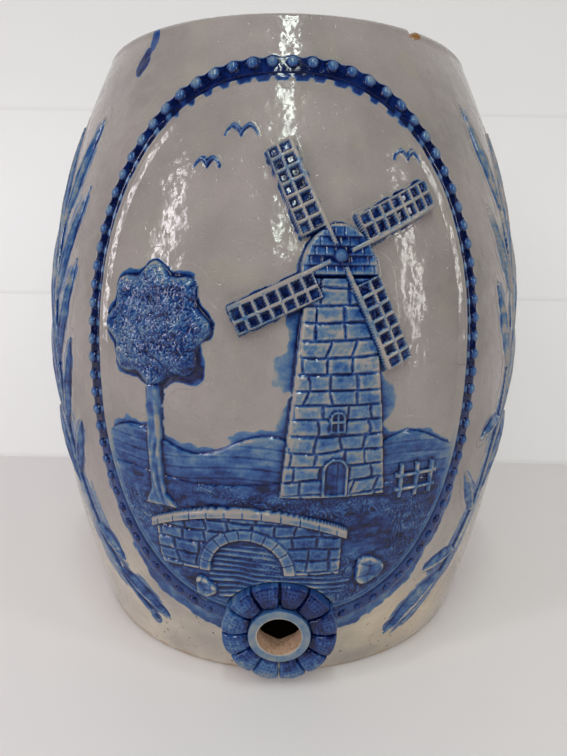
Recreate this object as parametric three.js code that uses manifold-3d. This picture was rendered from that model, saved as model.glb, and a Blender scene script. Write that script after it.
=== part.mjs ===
import * as THREE from 'three';
import { mergeVertices } from 'three/addons/utils/BufferGeometryUtils.js';
import Module from 'manifold-3d';

const wasm = await Module();
wasm.setup();

// A stoneware water cooler, in millimetres, +Z up. The origin is the middle of the flat underside, and
// the medallion and the tap hole face -Y. Every relief is a sprig: clay moulded apart and laid on the wall.

// Vessel
const vesselHeight = 350;
const baseRadius = 126.8;
const bellyRadius = 155.5;
const rimRadius = 111.2;
const bellyHeight = 177;
const wallThickness = 11;
const floorThickness = 13;
const footRounding = 3;
const rimRounding = 4;
const mouthChamfer = 1.5;
const insideCornerRadius = 9;

// Lid seat in the mouth
const mouthRadius = 99;
const lidSeatDepth = 12;
const ledgeWidth = 10;
const ledgeThickness = 7;
const shoulderDrop = 16;

// Lid and knob
const lidClearance = 1.5;
const lidThickness = 9;
const lidDoming = 3;
const lidEdgeRounding = 2;
const bossClearance = 2;
const bossDepth = 5;
const knobRadius = 18;
const knobNeckRadius = 11;
const knobHeight = 24;
const knobPegRadius = 6;
const knobPegDepth = 4;
// Knob above its neck, from below: share of its radius, share of its height
const knobProfile = [[0.53, 0.22], [0.9, 0.48], [1, 0.62], [0.86, 0.88]];

// Tap hole, its collar and the rosette round it, all on one axis that leans a little down
const tapHeight = 38;
const tapLean = THREE.MathUtils.degToRad(7);
const tapBoreRadius = 11.9;
const collarWidth = 5;
const collarProud = 9.7;
const collarBevel = 0.6;
const rosetteRadius = 31.4;
const rosetteEdgeProud = 5.7;
const rosetteEdgeBevel = 1.8;
const rosetteCrown = 3.6;
const rosetteCrownShare = 0.6;
const rosetteInnerDip = 1.5;
const petalCount = 12;
const grooveDepth = 2.6;
const grooveFall = 1.4;
const grooveSlimness = 0.5;

// Oval frame of the medallion, measured round the belly and up the axis
const ovalHalfWidth = 107.8;
const ovalTopMargin = 26.2;
const ovalBottomMargin = 40.2;
const ovalSquareness = 2.63;
const beadRadius = 3.2;
const beadRise = 2.9;
const beadPitch = 9.4;
// One bead and the neck before it, along the row: share of the bead's radius, share of its rise
const beadProfile = [[0.37, 0.4], [0.86, 0.85], [1, 1], [0.86, 0.85]];
const filletInset = 7.2;
const filletWidth = 1.8;
const filletRise = 1.7;
const pictureInset = 9.4;

// Relief heights above the wall, lowest first
const hillsRise = 1.2;
const groundRise = 1.5;
const streamRise = 2.6;
const trunkRise = 3.4;
const fenceRise = 3;
const bridgeRise = 3.6;
const towerRise = 4;
const rockRise = 4.2;
const crownRise = 4.6;
const parapetRise = 4.9;
const openingRise = 5;
const sailRise = 5.6;
const hubRise = 6.6;
const birdRise = 1.6;
const stemRise = 1.5;
const leafRise = 2.5;

// Spray leaves and stems. A leaf is widest nearer its root, and its vein rises and falls along it.
const slimLeaf = 8;
const plainLeaf = 9;
const wideLeaf = 10;
const broadLeaf = 12;
const leafBow = 0.05;
const leafFullness = 0.85;
const leafRootRise = 0.12;
const leafTipRise = 0.9;
const stemFootWidth = 3.4;
const stemTipWidth = 1.8;

// Rocks by the stream
const leftRockRadius = 7;
const rightRockRadius = 9;
const rockLobes = 3;
const rockLobeShare = 1 / 9;

// Windmill
const millHubRadius = 4.6;
const sailLength = 57;
const sailWidth = 13;
const sailBladeStart = 15;
const sparWidth = 2.4;
const sailCount = 4;
const sailTurn = THREE.MathUtils.degToRad(25);

// Birds
const birdReaches = [9, 7, 8];
const birdWingRise = 0.42;
const birdWingFullness = 0.8;
const birdWingThickness = 1.9;

// Tree crown
const treeCrownRadius = 28;
const treeCrownLobes = 8;
const treeCrownLobeDepth = 2.6;

// Fineness of the faceted surfaces, and the gap left between neighbouring pieces
const gap = 0.3;
const wallSegments = 40;
const wallRings = 14;
const insideRings = 7;
const roundingSteps = 2;
const ovalSteps = 48;
const outlineStep = 18;
const filletStepCount = 72;
const leafSteps = 6;
const stemSteps = 20;
const fanDepth = 75;
const wedgeReach = 0.5;

// Glaze and clay colours
const stoneGrey = 0x9c9694;
const paleBlue = 0x5b7a9c;
const midBlue = 0x3a5686;
const deepBlue = 0x243a6a;
const navy = 0x1d2c52;
const collarBlue = 0x456086;

const ovalMiddle = (vesselHeight - ovalTopMargin + ovalBottomMargin) / 2;
const ovalHalfHeight = (vesselHeight - ovalTopMargin - ovalBottomMargin) / 2;
const ledgeHeight = vesselHeight - lidSeatDepth;
const ledgeRadius = mouthRadius - ledgeWidth;
const collarRadius = tapBoreRadius + collarWidth;

const cooler = new THREE.Group();

function spread(from, to, count) {
  return Array.from({ length: count + 1 }, (_, step) => from + (to - from) * step / count);
}

function wallRadius(z) {
  const endRadius = z < bellyHeight ? baseRadius : rimRadius;
  const reach = z < bellyHeight ? bellyHeight : vesselHeight - bellyHeight;
  return bellyRadius - (bellyRadius - endRadius) * ((z - bellyHeight) / reach) ** 2;
}

function wallSlope(z) {
  const step = 0.01;
  return (wallRadius(z + step) - wallRadius(z - step)) / (2 * step);
}

function insideRadius(z) {
  return wallRadius(z) - wallThickness;
}

// A quarter circle from one angle to the other, in degrees, as [radius, height] points.
function roundedCorner(middleRadius, middleHeight, radius, fromDegrees, toDegrees) {
  return spread(fromDegrees, toDegrees, roundingSteps).map((degrees) => {
    const angle = THREE.MathUtils.degToRad(degrees);
    return [middleRadius + radius * Math.cos(angle), middleHeight + radius * Math.sin(angle)];
  });
}

function lathe(profile, segments = wallSegments) {
  const points = profile.map(([radius, height]) => new THREE.Vector2(Math.max(radius, 0), height));
  return new THREE.LatheGeometry(points, segments).rotateX(Math.PI / 2);
}

// Turns a closed geometry into a solid that can be joined and cut.
function solid(geometry) {
  const bare = geometry.clone();
  bare.deleteAttribute('normal');
  bare.deleteAttribute('uv');
  const merged = mergeVertices(bare, 1e-4);
  const triangles = [];
  for (let start = 0; start < merged.index.count; start += 3) {
    const corners = [0, 1, 2].map((corner) => merged.index.getX(start + corner));
    if (new Set(corners).size === 3) triangles.push(...corners);
  }
  return new wasm.Manifold(new wasm.Mesh({
    numProp: 3,
    vertProperties: new Float32Array(merged.attributes.position.array),
    triVerts: new Uint32Array(triangles),
  }));
}

function addPiece(name, shape, colour, roughness = 0.35) {
  const mesh = shape.getMesh();
  const geometry = new THREE.BufferGeometry();
  geometry.setAttribute('position', new THREE.BufferAttribute(mesh.vertProperties, 3));
  geometry.setIndex(new THREE.BufferAttribute(mesh.triVerts, 1));
  geometry.computeVertexNormals();
  const material = new THREE.MeshStandardMaterial({ color: colour, roughness, metalness: 0 });
  const piece = new THREE.Mesh(geometry, material);
  piece.name = name;
  cooler.add(piece);
}

const wallHeights = spread(footRounding, vesselHeight - rimRounding, wallRings);

// The space between two heights above the wall, with the wall's own facets.
function wallShell(inner, outer) {
  const outerSide = wallHeights.map((z) => [wallRadius(z) + outer, z]);
  const innerSide = wallHeights.map((z) => [wallRadius(z) + inner, z]).reverse();
  return solid(lathe([...outerSide, ...innerSide, outerSide[0]]));
}

// The vessel's outside grown by the gap, for cutting what stands against it.
function wallCutter() {
  const side = wallHeights.map((z) => [wallRadius(z) + gap, z]);
  return solid(lathe([[0, footRounding], ...side, [0, vesselHeight - rimRounding]]));
}

function wallPoint(arc, z) {
  const angle = arc / bellyRadius;
  return new THREE.Vector3(wallRadius(z) * Math.sin(angle), -wallRadius(z) * Math.cos(angle), z);
}

function wallNormal(arc, z) {
  const angle = arc / bellyRadius;
  return new THREE.Vector3(Math.sin(angle), -Math.cos(angle), -wallSlope(z)).normalize();
}

// Maps drawing points, [arc round the belly, height], to a wedge that passes through the wall there.
// Its sides fan out from one point behind the wall, so each of them is flat and close to square on it.
function wedge(outline) {
  const shape = new THREE.Shape(outline.map(([arc, height]) => new THREE.Vector2(arc, height)));
  const geometry = new THREE.ExtrudeGeometry(shape, { depth: 1, bevelEnabled: false });
  const place = geometry.attributes.position;
  const source = new THREE.Vector3(0, fanDepth, bellyHeight);
  for (let index = 0; index < place.count; index += 1) {
    const reach = place.getZ(index) > 0.5 ? 1 + wedgeReach : 1 - wedgeReach;
    const point = source.clone().lerp(wallPoint(place.getX(index), place.getY(index)), reach);
    place.setXYZ(index, point.x, point.y, point.z);
  }
  return solid(geometry);
}

// Splits long sides of an outline, so that they follow the wall's curve.
function withShortSides(outline) {
  return outline.flatMap(([arc, height], index) => {
    const [nextArc, nextHeight] = outline[(index + 1) % outline.length];
    const parts = Math.max(1, Math.round(Math.hypot(nextArc - arc, nextHeight - height) / outlineStep));
    return spread(0, 1, parts).slice(0, -1).map((share) => [
      THREE.MathUtils.lerp(arc, nextArc, share),
      THREE.MathUtils.lerp(height, nextHeight, share),
    ]);
  });
}

// Moves every side of an outline outwards by a distance.
function grow(outline, distance) {
  const points = outline.map(([arc, height]) => new THREE.Vector2(arc, height));
  const turn = Math.sign(THREE.ShapeUtils.area(points));
  return points.map((point, index) => {
    const before = point.clone().sub(points.at(index - 1)).normalize();
    const after = points[(index + 1) % points.length].clone().sub(point).normalize();
    const outward = new THREE.Vector2(before.y + after.y, -before.x - after.x).normalize();
    const squareness = Math.max(outward.dot(new THREE.Vector2(before.y, -before.x)), 0.5);
    const moved = point.clone().addScaledVector(outward, turn * distance / squareness);
    return [moved.x, moved.y];
  });
}

function oval(inset) {
  const power = 2 / ovalSquareness;
  return spread(0, 2 * Math.PI, ovalSteps).slice(0, -1).map((turn) => {
    const across = Math.sign(Math.cos(turn)) * Math.abs(Math.cos(turn)) ** power;
    const up = Math.sign(Math.sin(turn)) * Math.abs(Math.sin(turn)) ** power;
    return [(ovalHalfWidth - inset) * across, ovalMiddle + (ovalHalfHeight - inset) * up];
  });
}

// The tap's axis: its foot on the wall, its way out, and a turn that brings +Z onto it
const tapFoot = new THREE.Vector3(0, -wallRadius(tapHeight), tapHeight);
const tapAxis = new THREE.Vector3(0, -Math.cos(tapLean), -Math.sin(tapLean));
const tapTurn = new THREE.Quaternion().setFromUnitVectors(new THREE.Vector3(0, 0, 1), tapAxis);
const tapFrame = new THREE.Matrix4().compose(tapFoot, tapTurn, new THREE.Vector3(1, 1, 1));
const tapRoot = -3 * wallThickness;

function onTapAxis(geometry) {
  return solid(geometry.applyMatrix4(tapFrame));
}

function tapPlug(radius) {
  const end = rosetteRadius;
  return onTapAxis(lathe([[0, tapRoot], [radius, tapRoot], [radius, end], [0, end]]));
}

const rosettePlug = tapPlug(rosetteRadius + gap);

// Adds a sprig that rises from the wall and laps over the lower sprigs that it crosses. It returns the
// same form grown by the gap, for the sprigs that lap over this one.
function sprig({ name, outline, rise, colour, over = [], inPicture = false, clearOfTap = false }) {
  const fine = withShortSides(outline);
  let shape = wedge(fine).intersect(wallShell(gap, rise));
  let grown = wedge(grow(fine, gap)).intersect(wallShell(-gap, rise + gap));
  if (inPicture) {
    shape = shape.intersect(wedge(oval(pictureInset)));
    grown = grown.intersect(wedge(oval(pictureInset - gap)));
  }
  for (const lower of over) shape = shape.subtract(lower);
  if (clearOfTap) shape = shape.subtract(rosettePlug);
  addPiece(name, shape, colour);
  return grown;
}

// Vessel
function buildVessel() {
  const foot = roundedCorner(wallRadius(footRounding) - footRounding, footRounding, footRounding, -90, 0);
  const rimTop = vesselHeight - rimRounding;
  const rim = roundedCorner(wallRadius(rimTop) - rimRounding, rimTop, rimRounding, 0, 90);
  const shoulderHeight = ledgeHeight - ledgeThickness - shoulderDrop;
  const cornerHeight = floorThickness + insideCornerRadius;
  const inside = spread(shoulderHeight, cornerHeight, insideRings).map((z) => [insideRadius(z), z]);
  const cornerMiddle = insideRadius(cornerHeight) - insideCornerRadius;
  const outside = solid(lathe([
    [0, 0],
    ...foot,
    ...wallHeights.slice(1, -1).map((z) => [wallRadius(z), z]),
    ...rim,
    [mouthRadius + mouthChamfer, vesselHeight],
    [mouthRadius, vesselHeight - mouthChamfer],
    [mouthRadius, ledgeHeight],
    [ledgeRadius, ledgeHeight],
    [ledgeRadius, ledgeHeight - ledgeThickness],
    ...inside,
    ...roundedCorner(cornerMiddle, cornerHeight, insideCornerRadius, 0, -90).slice(1),
    [0, floorThickness],
  ]));
  addPiece('vessel_body', outside.subtract(tapPlug(tapBoreRadius)), stoneGrey);
}

// Lid: a domed disc on the ledge, with a boss below that keeps it centred
function buildLid() {
  const radius = mouthRadius - lidClearance;
  const bossRadius = ledgeRadius - bossClearance;
  const underside = ledgeHeight + gap;
  const edgeTop = underside + lidThickness;
  const crown = edgeTop + lidDoming;
  const knobSeat = crown + gap;
  const disc = solid(lathe([
    [0, underside - bossDepth],
    [bossRadius, underside - bossDepth],
    [bossRadius, underside],
    [radius, underside],
    [radius, edgeTop - lidEdgeRounding],
    [radius - lidEdgeRounding, edgeTop],
    [knobNeckRadius + lidEdgeRounding, crown],
    [knobPegRadius + gap, crown],
    [knobPegRadius + gap, crown - knobPegDepth - gap],
    [0, crown - knobPegDepth - gap],
  ]));
  addPiece('lid', disc, stoneGrey);

  const knob = solid(lathe([
    [0, crown - knobPegDepth],
    [knobPegRadius, crown - knobPegDepth],
    [knobPegRadius, knobSeat],
    [knobNeckRadius, knobSeat],
    ...knobProfile.map(([across, up]) => [knobRadius * across, knobSeat + knobHeight * up]),
    [0, knobSeat + knobHeight],
  ], wallSegments / 2));
  addPiece('lid_knob', knob, stoneGrey);
}

// Rosette with its petals, and the plain collar inside it
function buildTapSeat() {
  const innerRadius = collarRadius + gap;
  const span = rosetteRadius - innerRadius;
  const crownHeight = rosetteEdgeProud + rosetteCrown;
  let rosette = onTapAxis(lathe([
    [innerRadius, tapRoot],
    [rosetteRadius, tapRoot],
    [rosetteRadius, rosetteEdgeProud],
    [rosetteRadius - rosetteEdgeBevel, crownHeight - rosetteEdgeBevel / 2],
    [innerRadius + span * rosetteCrownShare, crownHeight],
    [innerRadius + span * rosetteCrownShare / 3, crownHeight - rosetteInnerDip / 3],
    [innerRadius, crownHeight - rosetteInnerDip],
    [innerRadius, tapRoot],
  ], petalCount * 2));

  const grooveLength = span + 2 * grooveDepth;
  for (let petal = 0; petal < petalCount; petal += 1) {
    const groove = new THREE.BoxGeometry(grooveLength, 2 * grooveDepth, 2 * grooveDepth);
    groove.rotateX(Math.PI / 4).scale(1, grooveSlimness, 1);
    groove.rotateY(Math.atan2(grooveFall, span));
    groove.translate(innerRadius + span / 2, 0, crownHeight + (Math.SQRT2 - 1) * grooveDepth);
    groove.rotateZ(petal * 2 * Math.PI / petalCount);
    rosette = rosette.subtract(onTapAxis(groove));
  }
  addPiece('tap_rosette', rosette.subtract(wallCutter()), midBlue);

  const collar = onTapAxis(lathe([
    [tapBoreRadius, tapRoot],
    [collarRadius, tapRoot],
    [collarRadius, collarProud - collarBevel],
    [collarRadius - collarBevel, collarProud],
    [tapBoreRadius + collarBevel, collarProud],
    [tapBoreRadius, collarProud - collarBevel],
    [tapBoreRadius, tapRoot],
  ], petalCount * 2));
  addPiece('tap_collar', collar.subtract(wallCutter()), collarBlue);
}

// The point of the wall straight out from a point near it
function ontoWall(point, lift = 0) {
  const arc = Math.atan2(point.x, -point.y) * bellyRadius;
  return wallPoint(arc, point.z).addScaledVector(wallNormal(arc, point.z), lift);
}

// A raised line on the wall. Each step has its two edges at the base height and a crown between them.
function ridge(steps, closed = false, base = gap) {
  const corners = steps.flatMap(({ point, tangent, halfWidth, rise }) => {
    const normal = wallNormal(Math.atan2(point.x, -point.y) * bellyRadius, point.z);
    const aside = tangent.clone().cross(normal).normalize().multiplyScalar(halfWidth);
    return [
      ontoWall(point.clone().sub(aside), base),
      ontoWall(point, rise),
      ontoWall(point.clone().add(aside), base),
    ];
  });
  const faces = closed ? [] : [0, 2, 1, corners.length - 3, corners.length - 2, corners.length - 1];
  for (let step = 0; step < steps.length - (closed ? 0 : 1); step += 1) {
    for (let side = 0; side < 3; side += 1) {
      const here = step * 3;
      const next = (here + 3) % corners.length;
      const other = (side + 1) % 3;
      faces.push(here + side, here + other, next + other, here + side, next + other, next + side);
    }
  }
  const geometry = new THREE.BufferGeometry().setFromPoints(corners);
  geometry.setIndex(faces);
  return solid(geometry);
}

function wallCurve(points, closed = false) {
  return new THREE.CatmullRomCurve3(points.map(([arc, z]) => wallPoint(arc, z)), closed);
}

// Frame of the picture: a row of beads and a thin fillet inside it, both open where the rosette stands
function buildFrame() {
  const row = wallCurve(oval(0), true);
  const beadCount = Math.round(row.getLength() / beadPitch);
  const beadSteps = spread(0, 1, beadCount * beadProfile.length).slice(0, -1).map((share, index) => {
    const [across, up] = beadProfile[index % beadProfile.length];
    return {
      point: ontoWall(row.getPointAt(share)),
      tangent: row.getTangentAt(share),
      halfWidth: beadRadius * across,
      rise: beadRise * up,
    };
  });
  addPiece('bead_border', ridge(beadSteps, true).subtract(rosettePlug), navy);

  const line = wallCurve(oval(filletInset), true);
  const filletSteps = spread(0, 1, filletStepCount).slice(0, -1).map((share) => ({
    point: ontoWall(line.getPointAt(share)),
    tangent: line.getTangentAt(share),
    halfWidth: filletWidth / 2,
    rise: filletRise,
  }));
  addPiece('inner_fillet', ridge(filletSteps, true).subtract(rosettePlug), midBlue);
}

// Picture coordinates are percentages of the oval's half width and half height from its middle.
function pictureArc(percent) {
  return ovalHalfWidth * percent / 100;
}

function pictureHeight(percent) {
  return ovalMiddle + ovalHalfHeight * percent / 100;
}

function pictured(points) {
  return points.map(([across, up]) => [pictureArc(across), pictureHeight(up)]);
}

function disc({ arc, height, radius, steps, lobes = 0, lobeDepth = 0 }) {
  return spread(0, 2 * Math.PI, steps).slice(0, -1).map((turn) => {
    const reach = radius + lobeDepth * Math.cos(lobes * turn);
    return [arc + reach * Math.cos(turn), height + reach * Math.sin(turn)];
  });
}

// A low band of land from one side of the picture to the other, with a rolling top. Its swell is a
// percentage too, and its phase is in radians.
function land({ bottom, top, swell, waves, phase }) {
  const reach = 100;
  const skylineSteps = 16;
  const skyline = spread(reach, -reach, skylineSteps).map((across) => [
    across,
    top + swell * Math.sin(waves * Math.PI * across / reach + phase),
  ]);
  return pictured([[-reach, bottom], [reach, bottom], ...skyline]);
}

function buildLandscape() {
  const ground = sprig({
    name: 'ground', rise: groundRise, colour: midBlue, inPicture: true, clearOfTap: true,
    outline: land({ bottom: -98, top: -39, swell: 1.6, waves: 2, phase: 0.6 }),
  });
  const hills = sprig({
    name: 'far_hills', rise: hillsRise, colour: paleBlue, over: [ground], inPicture: true,
    outline: land({ bottom: -46, top: -26, swell: 4, waves: 3, phase: 2.2 }),
  });
  const stream = sprig({
    name: 'stream', rise: streamRise, colour: paleBlue, over: [ground], inPicture: true, clearOfTap: true,
    outline: pictured([
      [-33, -64], [0, -64], [5, -71], [20, -75], [37, -79], [35, -86], [-32, -89], [-39, -82], [-36, -73],
    ]),
  });
  buildBridge([ground, stream]);
  const rocks = [
    ['left_rock', -40, -84.5, leftRockRadius],
    ['right_rock', 46, -76, rightRockRadius],
  ];
  const rockSteps = 10;
  for (const [name, across, up, radius] of rocks) {
    const outline = disc({
      arc: pictureArc(across), height: pictureHeight(up), radius, steps: rockSteps,
      lobes: rockLobes, lobeDepth: radius * rockLobeShare,
    });
    sprig({ name, outline, rise: rockRise, colour: midBlue, over: [ground, stream], inPicture: true });
  }
  buildFence([ground, hills]);
  buildTree([ground, hills]);
  buildMill([ground, hills]);
}

// Hump-backed bridge with one arch, and its parapet
function buildBridge(beneath) {
  const middle = -17;
  const halfSpan = 47;
  const deck = (share) => -51 - 8.5 * share ** 2;
  const archHalfSpan = 18.5;
  const archRise = 14.5;
  const springing = -76;
  const deckLine = spread(1, -1, 8).map((share) => [middle + halfSpan * share, deck(share)]);
  const arch = spread(0, Math.PI, 8).map((turn) => [
    middle - archHalfSpan * Math.cos(turn),
    springing + archRise * Math.sin(turn),
  ]);
  const bridgeOutline = [
    ...deckLine,
    [middle - halfSpan, springing],
    ...arch,
    [middle + halfSpan, springing],
  ];
  const bridge = sprig({
    name: 'bridge', outline: pictured(bridgeOutline), rise: bridgeRise, colour: midBlue, over: beneath,
  });
  const parapetHeight = 3.6;
  const overhang = 2;
  const lowerLine = spread(-1, 1, 8).map((share) => [
    middle + (halfSpan + overhang) * share, deck(share) - parapetHeight / 3,
  ]);
  const upperLine = lowerLine.map(([across, up]) => [across, up + parapetHeight]).reverse();
  sprig({
    name: 'bridge_parapet', outline: pictured([...lowerLine, ...upperLine]), rise: parapetRise,
    colour: paleBlue, over: [bridge, ...beneath],
  });
}

// Rail fence: posts joined by two rails, all one sprig
function buildFence(beneath) {
  const posts = [58, 67, 76];
  const postHalfWidth = 1.1;
  const foot = -47;
  const top = -34;
  const rails = [-43.6, -38.2];
  const railHalfHeight = 0.8;
  const railStart = posts[0] - 3;
  const railEnd = posts.at(-1) + 3;
  const bars = [
    ...posts.map((across) => [
      [across - postHalfWidth, foot], [across + postHalfWidth, foot],
      [across + postHalfWidth, top], [across - postHalfWidth, top],
    ]),
    ...rails.map((up) => [
      [railStart, up - railHalfHeight], [railEnd, up - railHalfHeight],
      [railEnd, up + railHalfHeight], [railStart, up + railHalfHeight],
    ]),
  ];
  const shell = wallShell(gap, fenceRise);
  let fence = null;
  for (const bar of bars) {
    const piece = wedge(withShortSides(pictured(bar))).intersect(shell);
    fence = fence ? fence.add(piece) : piece;
  }
  for (const lower of beneath) fence = fence.subtract(lower);
  addPiece('rail_fence', fence, deepBlue);
}

function buildTree(beneath) {
  const trunk = sprig({
    name: 'tree_trunk', rise: trunkRise, colour: deepBlue, over: beneath,
    outline: pictured([
      [-70, -52], [-50, -52], [-56, -46], [-57.5, -30], [-56, -5], [-64, -5], [-65, -30], [-65, -45],
    ]),
  });
  const stepsInLobe = 6;
  const outline = disc({
    arc: pictureArc(-60), height: pictureHeight(14), radius: treeCrownRadius,
    steps: treeCrownLobes * stepsInLobe, lobes: treeCrownLobes, lobeDepth: treeCrownLobeDepth,
  });
  sprig({ name: 'tree_crown', outline, rise: crownRise, colour: deepBlue, over: [trunk] });
}

// Windmill: a tapered tower with a rounded cap, four sails on a hub, a door and a window
function buildMill(beneath) {
  const middle = 24;
  const foot = -44;
  const footHalfWidth = 25;
  const towerTop = 31;
  const topHalfWidth = 14.5;
  const capHalfWidth = 17.5;
  const capHeight = 17;
  const hubAboveTower = 6.5;
  const archSteps = 8;
  const tower = sprig({
    name: 'mill_tower', rise: towerRise, colour: paleBlue, over: beneath,
    outline: pictured([
      [middle - footHalfWidth, foot], [middle + footHalfWidth, foot],
      [middle + topHalfWidth, towerTop], [middle - topHalfWidth, towerTop],
    ]),
  });
  const capOutline = spread(0, Math.PI, archSteps).map((turn) => [
    middle + capHalfWidth * Math.cos(turn), towerTop + capHeight * Math.sin(turn),
  ]);
  const cap = sprig({
    name: 'mill_cap', outline: pictured(capOutline), rise: crownRise, colour: deepBlue, over: [tower],
  });

  const hubArc = pictureArc(middle);
  const hubHeight = pictureHeight(towerTop + hubAboveTower);
  sprig({
    name: 'mill_hub', rise: hubRise, colour: navy, over: [tower, cap],
    outline: disc({ arc: hubArc, height: hubHeight, radius: millHubRadius, steps: 10 }),
  });
  const sailStart = millHubRadius + 2 * gap;
  const sailOutline = [
    [sailStart, -sparWidth / 2],
    [sailLength, -sparWidth / 2],
    [sailLength, sailWidth],
    [sailBladeStart, sailWidth],
    [sailBladeStart, sparWidth / 2],
    [sailStart, sparWidth / 2],
  ];
  for (let index = 0; index < sailCount; index += 1) {
    const turn = sailTurn + index * 2 * Math.PI / sailCount;
    const outline = sailOutline.map(([along, across]) => [
      hubArc + along * Math.cos(turn) - across * Math.sin(turn),
      hubHeight + along * Math.sin(turn) + across * Math.cos(turn),
    ]);
    sprig({
      name: `mill_sail_${index + 1}`, outline, rise: sailRise, colour: midBlue, over: [tower, cap],
    });
  }

  const openings = [
    { name: 'mill_door', sill: foot + 0.6, halfWidth: 6, sideHeight: 10 },
    { name: 'mill_window', sill: -20, halfWidth: 3.6, sideHeight: 5 },
  ];
  const roundHead = ovalHalfWidth / ovalHalfHeight;
  for (const { name, sill, halfWidth, sideHeight } of openings) {
    const head = spread(0, Math.PI, archSteps).map((turn) => [
      middle + halfWidth * Math.cos(turn), sill + sideHeight + halfWidth * roundHead * Math.sin(turn),
    ]);
    const outline = pictured([[middle - halfWidth, sill], [middle + halfWidth, sill], ...head]);
    sprig({ name, outline, rise: openingRise, colour: navy, over: [tower] });
  }
}

// Three small birds, each two arched wings meeting in the middle
function buildBirds() {
  const places = [[-22, 76], [-38, 66], [62, 70]];
  const wingSteps = 3;
  places.forEach(([across, up], index) => {
    const reach = birdReaches[index];
    const edge = (thickness) => spread(-1, 1, 2 * wingSteps).map((share) => {
      const arch = Math.sin(Math.PI * Math.abs(share)) ** birdWingFullness;
      const height = reach * birdWingRise * arch + thickness * (1 - share ** 2);
      return [pictureArc(across) + reach * share, pictureHeight(up) + height];
    });
    const lower = edge(0);
    const upper = edge(birdWingThickness).slice(1, -1).reverse();
    sprig({ name: `bird_${index + 1}`, outline: [...lower, ...upper], rise: birdRise, colour: deepBlue });
  });
}

// Points of the sprays are given as degrees round from the front and a percentage of the vessel's height.
function sprayPoint([degrees, percent], hand) {
  return [THREE.MathUtils.degToRad(degrees) * hand * bellyRadius, vesselHeight * percent / 100];
}

const stemCourse = [[33, 7], [44, 16], [53, 30], [59, 48], [60, 66], [57, 78]];

// Leaves: share along the stem, tip, width. These grow towards the back, alike on both sides.
const outerLeaves = [
  [0.8, [66, 88], wideLeaf],
  [0.65, [71, 72], wideLeaf],
  [0.5, [72, 56], wideLeaf],
  [0.34, [68, 40], plainLeaf],
];
// These grow towards the medallion, from the top down.
const leftLeaves = [
  [0.92, [47.2, 87.5], wideLeaf],
  [0.76, [46.2, 77], wideLeaf],
  [0.63, [47.6, 66.5], wideLeaf],
  [0.485, [49.5, 54], plainLeaf],
  [0.37, [47.2, 41], slimLeaf],
  [0.26, [38.8, 17], plainLeaf],
  [0.145, [27.5, 8], plainLeaf],
];
const rightLeaves = [
  [0.96, [45.4, 90], wideLeaf],
  [0.79, [48.2, 75.5], wideLeaf],
  [0.63, [50, 64], wideLeaf],
  [0.52, [47, 38.5], slimLeaf],
  [0.3, [42.2, 34], slimLeaf],
  [0.21, [34.5, 17], slimLeaf],
  [0.15, [27, 5.2], broadLeaf],
];

function stemHalfWidth(share) {
  return THREE.MathUtils.lerp(stemFootWidth, stemTipWidth, share) / 2;
}

// A slender leaf from just beside the stem to its tip, with its vein as the crown
function leafRidge(stem, share, tip, width) {
  const root = stem.getPointAt(share);
  const end = wallPoint(...tip);
  const reach = end.clone().sub(root);
  const normal = wallNormal(Math.atan2(root.x, -root.y) * bellyRadius, root.z);
  const across = stem.getTangentAt(share).cross(normal).normalize();
  const side = Math.sign(reach.dot(across));
  const foot = root.addScaledVector(across, side * (stemHalfWidth(share) + 2 * gap));
  const along = end.clone().sub(foot);
  const bowed = along.clone().cross(normal).normalize().multiplyScalar(-side * leafBow * along.length());
  const bend = foot.clone().addScaledVector(along, 0.5).add(bowed);
  const vein = new THREE.QuadraticBezierCurve3(foot, bend, end);
  return ridge(spread(0, 1, leafSteps).map((part) => ({
    point: ontoWall(vein.getPoint(part)),
    tangent: vein.getTangent(part),
    halfWidth: width / 2 * Math.sin(Math.PI * part ** leafFullness),
    rise: gap + (leafRise - gap) * Math.sin(Math.PI * THREE.MathUtils.lerp(leafRootRise, leafTipRise, part)),
  })));
}

function buildSpray(side, hand, leaves) {
  const stem = wallCurve(stemCourse.map((point) => sprayPoint(point, hand)));
  const grownStem = (growth, base) => ridge(spread(0, 1, stemSteps).map((share) => ({
    point: ontoWall(stem.getPointAt(share)),
    tangent: stem.getTangentAt(share),
    halfWidth: stemHalfWidth(share) + growth,
    rise: stemRise + growth,
  })), false, base);
  addPiece(`${side}_stem`, grownStem(0, gap), midBlue);
  const clearance = grownStem(2 * gap, -gap);
  leaves.forEach(([share, tip, width], index) => {
    const leaf = leafRidge(stem, share, sprayPoint(tip, hand), width);
    addPiece(`${side}_leaf_${index + 1}`, leaf.subtract(clearance), paleBlue);
  });
}

buildVessel();
buildLid();
buildTapSeat();
buildFrame();
buildLandscape();
buildBirds();
buildSpray('left', -1, [...leftLeaves, ...outerLeaves]);
buildSpray('right', 1, [...rightLeaves, ...outerLeaves]);

export default cooler;
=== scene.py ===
"""Looks for the stoneware water cooler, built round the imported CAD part.

Drawing sizes are millimetres on the barrel. An arc is measured round the belly from the front, positive
towards +X, a height is measured up from the underside, and a lift stands square out from the wall.
Blender's meshes are in metres, in the frame of the CAD part.
"""

import logging
import math
from collections.abc import Callable, Sequence
from dataclasses import dataclass, field
from enum import Enum
from typing import ClassVar

import bmesh
import bpy
import numpy as np
from mathutils import Matrix, Quaternion, Vector


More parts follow.
